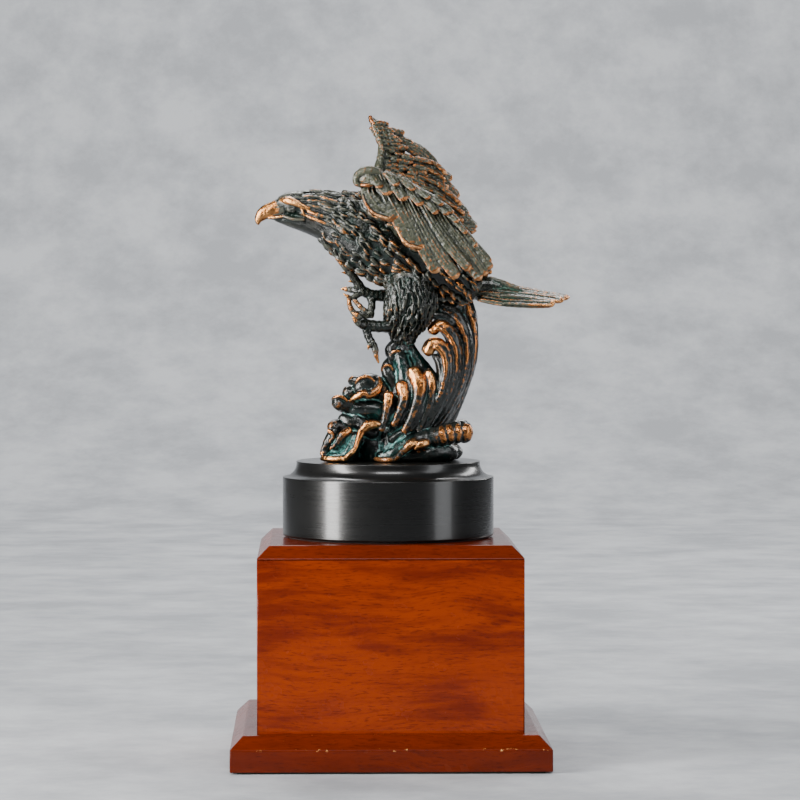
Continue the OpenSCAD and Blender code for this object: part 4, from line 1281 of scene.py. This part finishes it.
def makePedestal():
    p = pedestal
    low, floor, top = p["plinthLow"], p["panelLow"], p["boxTop"]
    cap = makeBoard("topBoard", "top_board", p["boxWidth"], p["panelHigh"], top, p["topBevel"], p["boardLow"])
    drill(cap, [(0, 0)], p["boardLow"] - 1, top + 1, p["boreRadius"], p["boreRadius"])
    flatFaces(cap)
    plinth = makeBoard("plinthBoard", "plinth", p["plinthWidth"], low, floor, p["plinthBevel"])
    places = [(x * p["screwPlace"], y * p["screwPlace"]) for x in (-1, 1) for y in (-1, 1)]
    drill(plinth, places, low - 1, floor + 1, p["screwRadius"], p["screwRadius"])
    drill(plinth, places, low - 0.4, low + p["headDepth"], p["headRadius"] + 0.3, p["screwRadius"])
    flatFaces(plinth)
    for i, side in enumerate(("front", "right", "back", "left")):
        makePanel(side + "Panel", side + "_panel", 90 * i, panelWoodAlongY if i % 2 else panelWoodAlongX)


# round base, turned: wall, cove and a thin lip, with the bore through it
turned = {
    "low": 127, "high": 170, "radius": 61.2, "topRadius": 53.2, "cove": 8, "lip": 1, "bore": 3.2, "edge": 0.5,
    "steps": 128,
}


def makeRoundBase():
    t = turned
    outer, inner, edge = t["radius"], t["topRadius"], t["edge"]
    wall = t["high"] - t["lip"] - t["cove"]
    outline = [(t["bore"], t["low"]), (outer - edge, t["low"]), (outer, t["low"] + edge)]
    # rings close to both corners keep the wall's shading straight
    outline += [(outer, t["low"] + 2 * edge), (outer, wall - 2 * edge)]
    for k in range(5):
        angle = quarter * k / 4
        outline.append((outer - edge + edge * math.cos(angle), wall - edge + edge * math.sin(angle)))
    for k in range(1, 13):
        angle = quarter * k / 13
        outline.append((outer - t["cove"] * math.sin(angle), wall + t["cove"] * (1 - math.cos(angle))))
    lipEdge = edge * 0.6
    outline += [(inner, t["high"] - t["lip"]), (inner, t["high"] - lipEdge)]
    for k in range(1, 4):
        angle = quarter * k / 4
        outline.append((inner - lipEdge * (1 - math.cos(angle)), t["high"] - lipEdge * (1 - math.sin(angle))))
    outline += [(inner - lipEdge, t["high"]), (inner - 2, t["high"]), (t["bore"], t["high"])]
    bm = bmesh.new()
    verts = [bm.verts.new((x * mm, 0, z * mm)) for x, z in outline]
    edges = [bm.edges.new(pair) for pair in zip(verts, verts[1:] + verts[:1])]
    bmesh.ops.spin(bm, geom=verts + edges, cent=(0, 0, 0), axis=(0, 0, 1), angle=4 * quarter,
        steps=t["steps"], use_merge=True, use_duplicate=False)
    bmesh.ops.remove_doubles(bm, verts=bm.verts, dist=1e-7)
    bmesh.ops.recalc_face_normals(bm, faces=bm.faces)
    piece = newPiece("roundBase", bm, blackLacquer, "black_lacquer", "round_base")
    for polygon in piece.data.polygons:
        polygon.use_smooth = abs(polygon.normal.z) < 0.999


def dress(names, material):
    for name in names:
        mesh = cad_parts[name].data
        if not mesh.materials:
            mesh.materials.append(material)
        for i in range(len(mesh.materials)):
            mesh.materials[i] = material


makePedestal()
makeRoundBase()
pinned = ("left_wing", "right_wing", "tail", "left_foot", "right_foot", "thigh", "rump")
dress([f"{place}_pin" for place in pinned], brushedSteel)
dress(["draw_rod", "rod_washer", "rod_nut", "plinth_screws"], brushedSteel)
dress(["threaded_insert"], turnedBrass)
dress(["base_felt"], darkFelt)
dress(["felt_sheet"], greenFelt)
dress([f"corner_block_{i}" for i in range(1, 5)], bareWood)
print("pedestal and round base are made, and the plain parts have their finishes")
makeBird()
makeLeftWing()
makeRightWing()
makeTail()
makeFoot("leftFoot", "left_foot")
makeFoot("rightFoot", "right_foot")
makeWave()
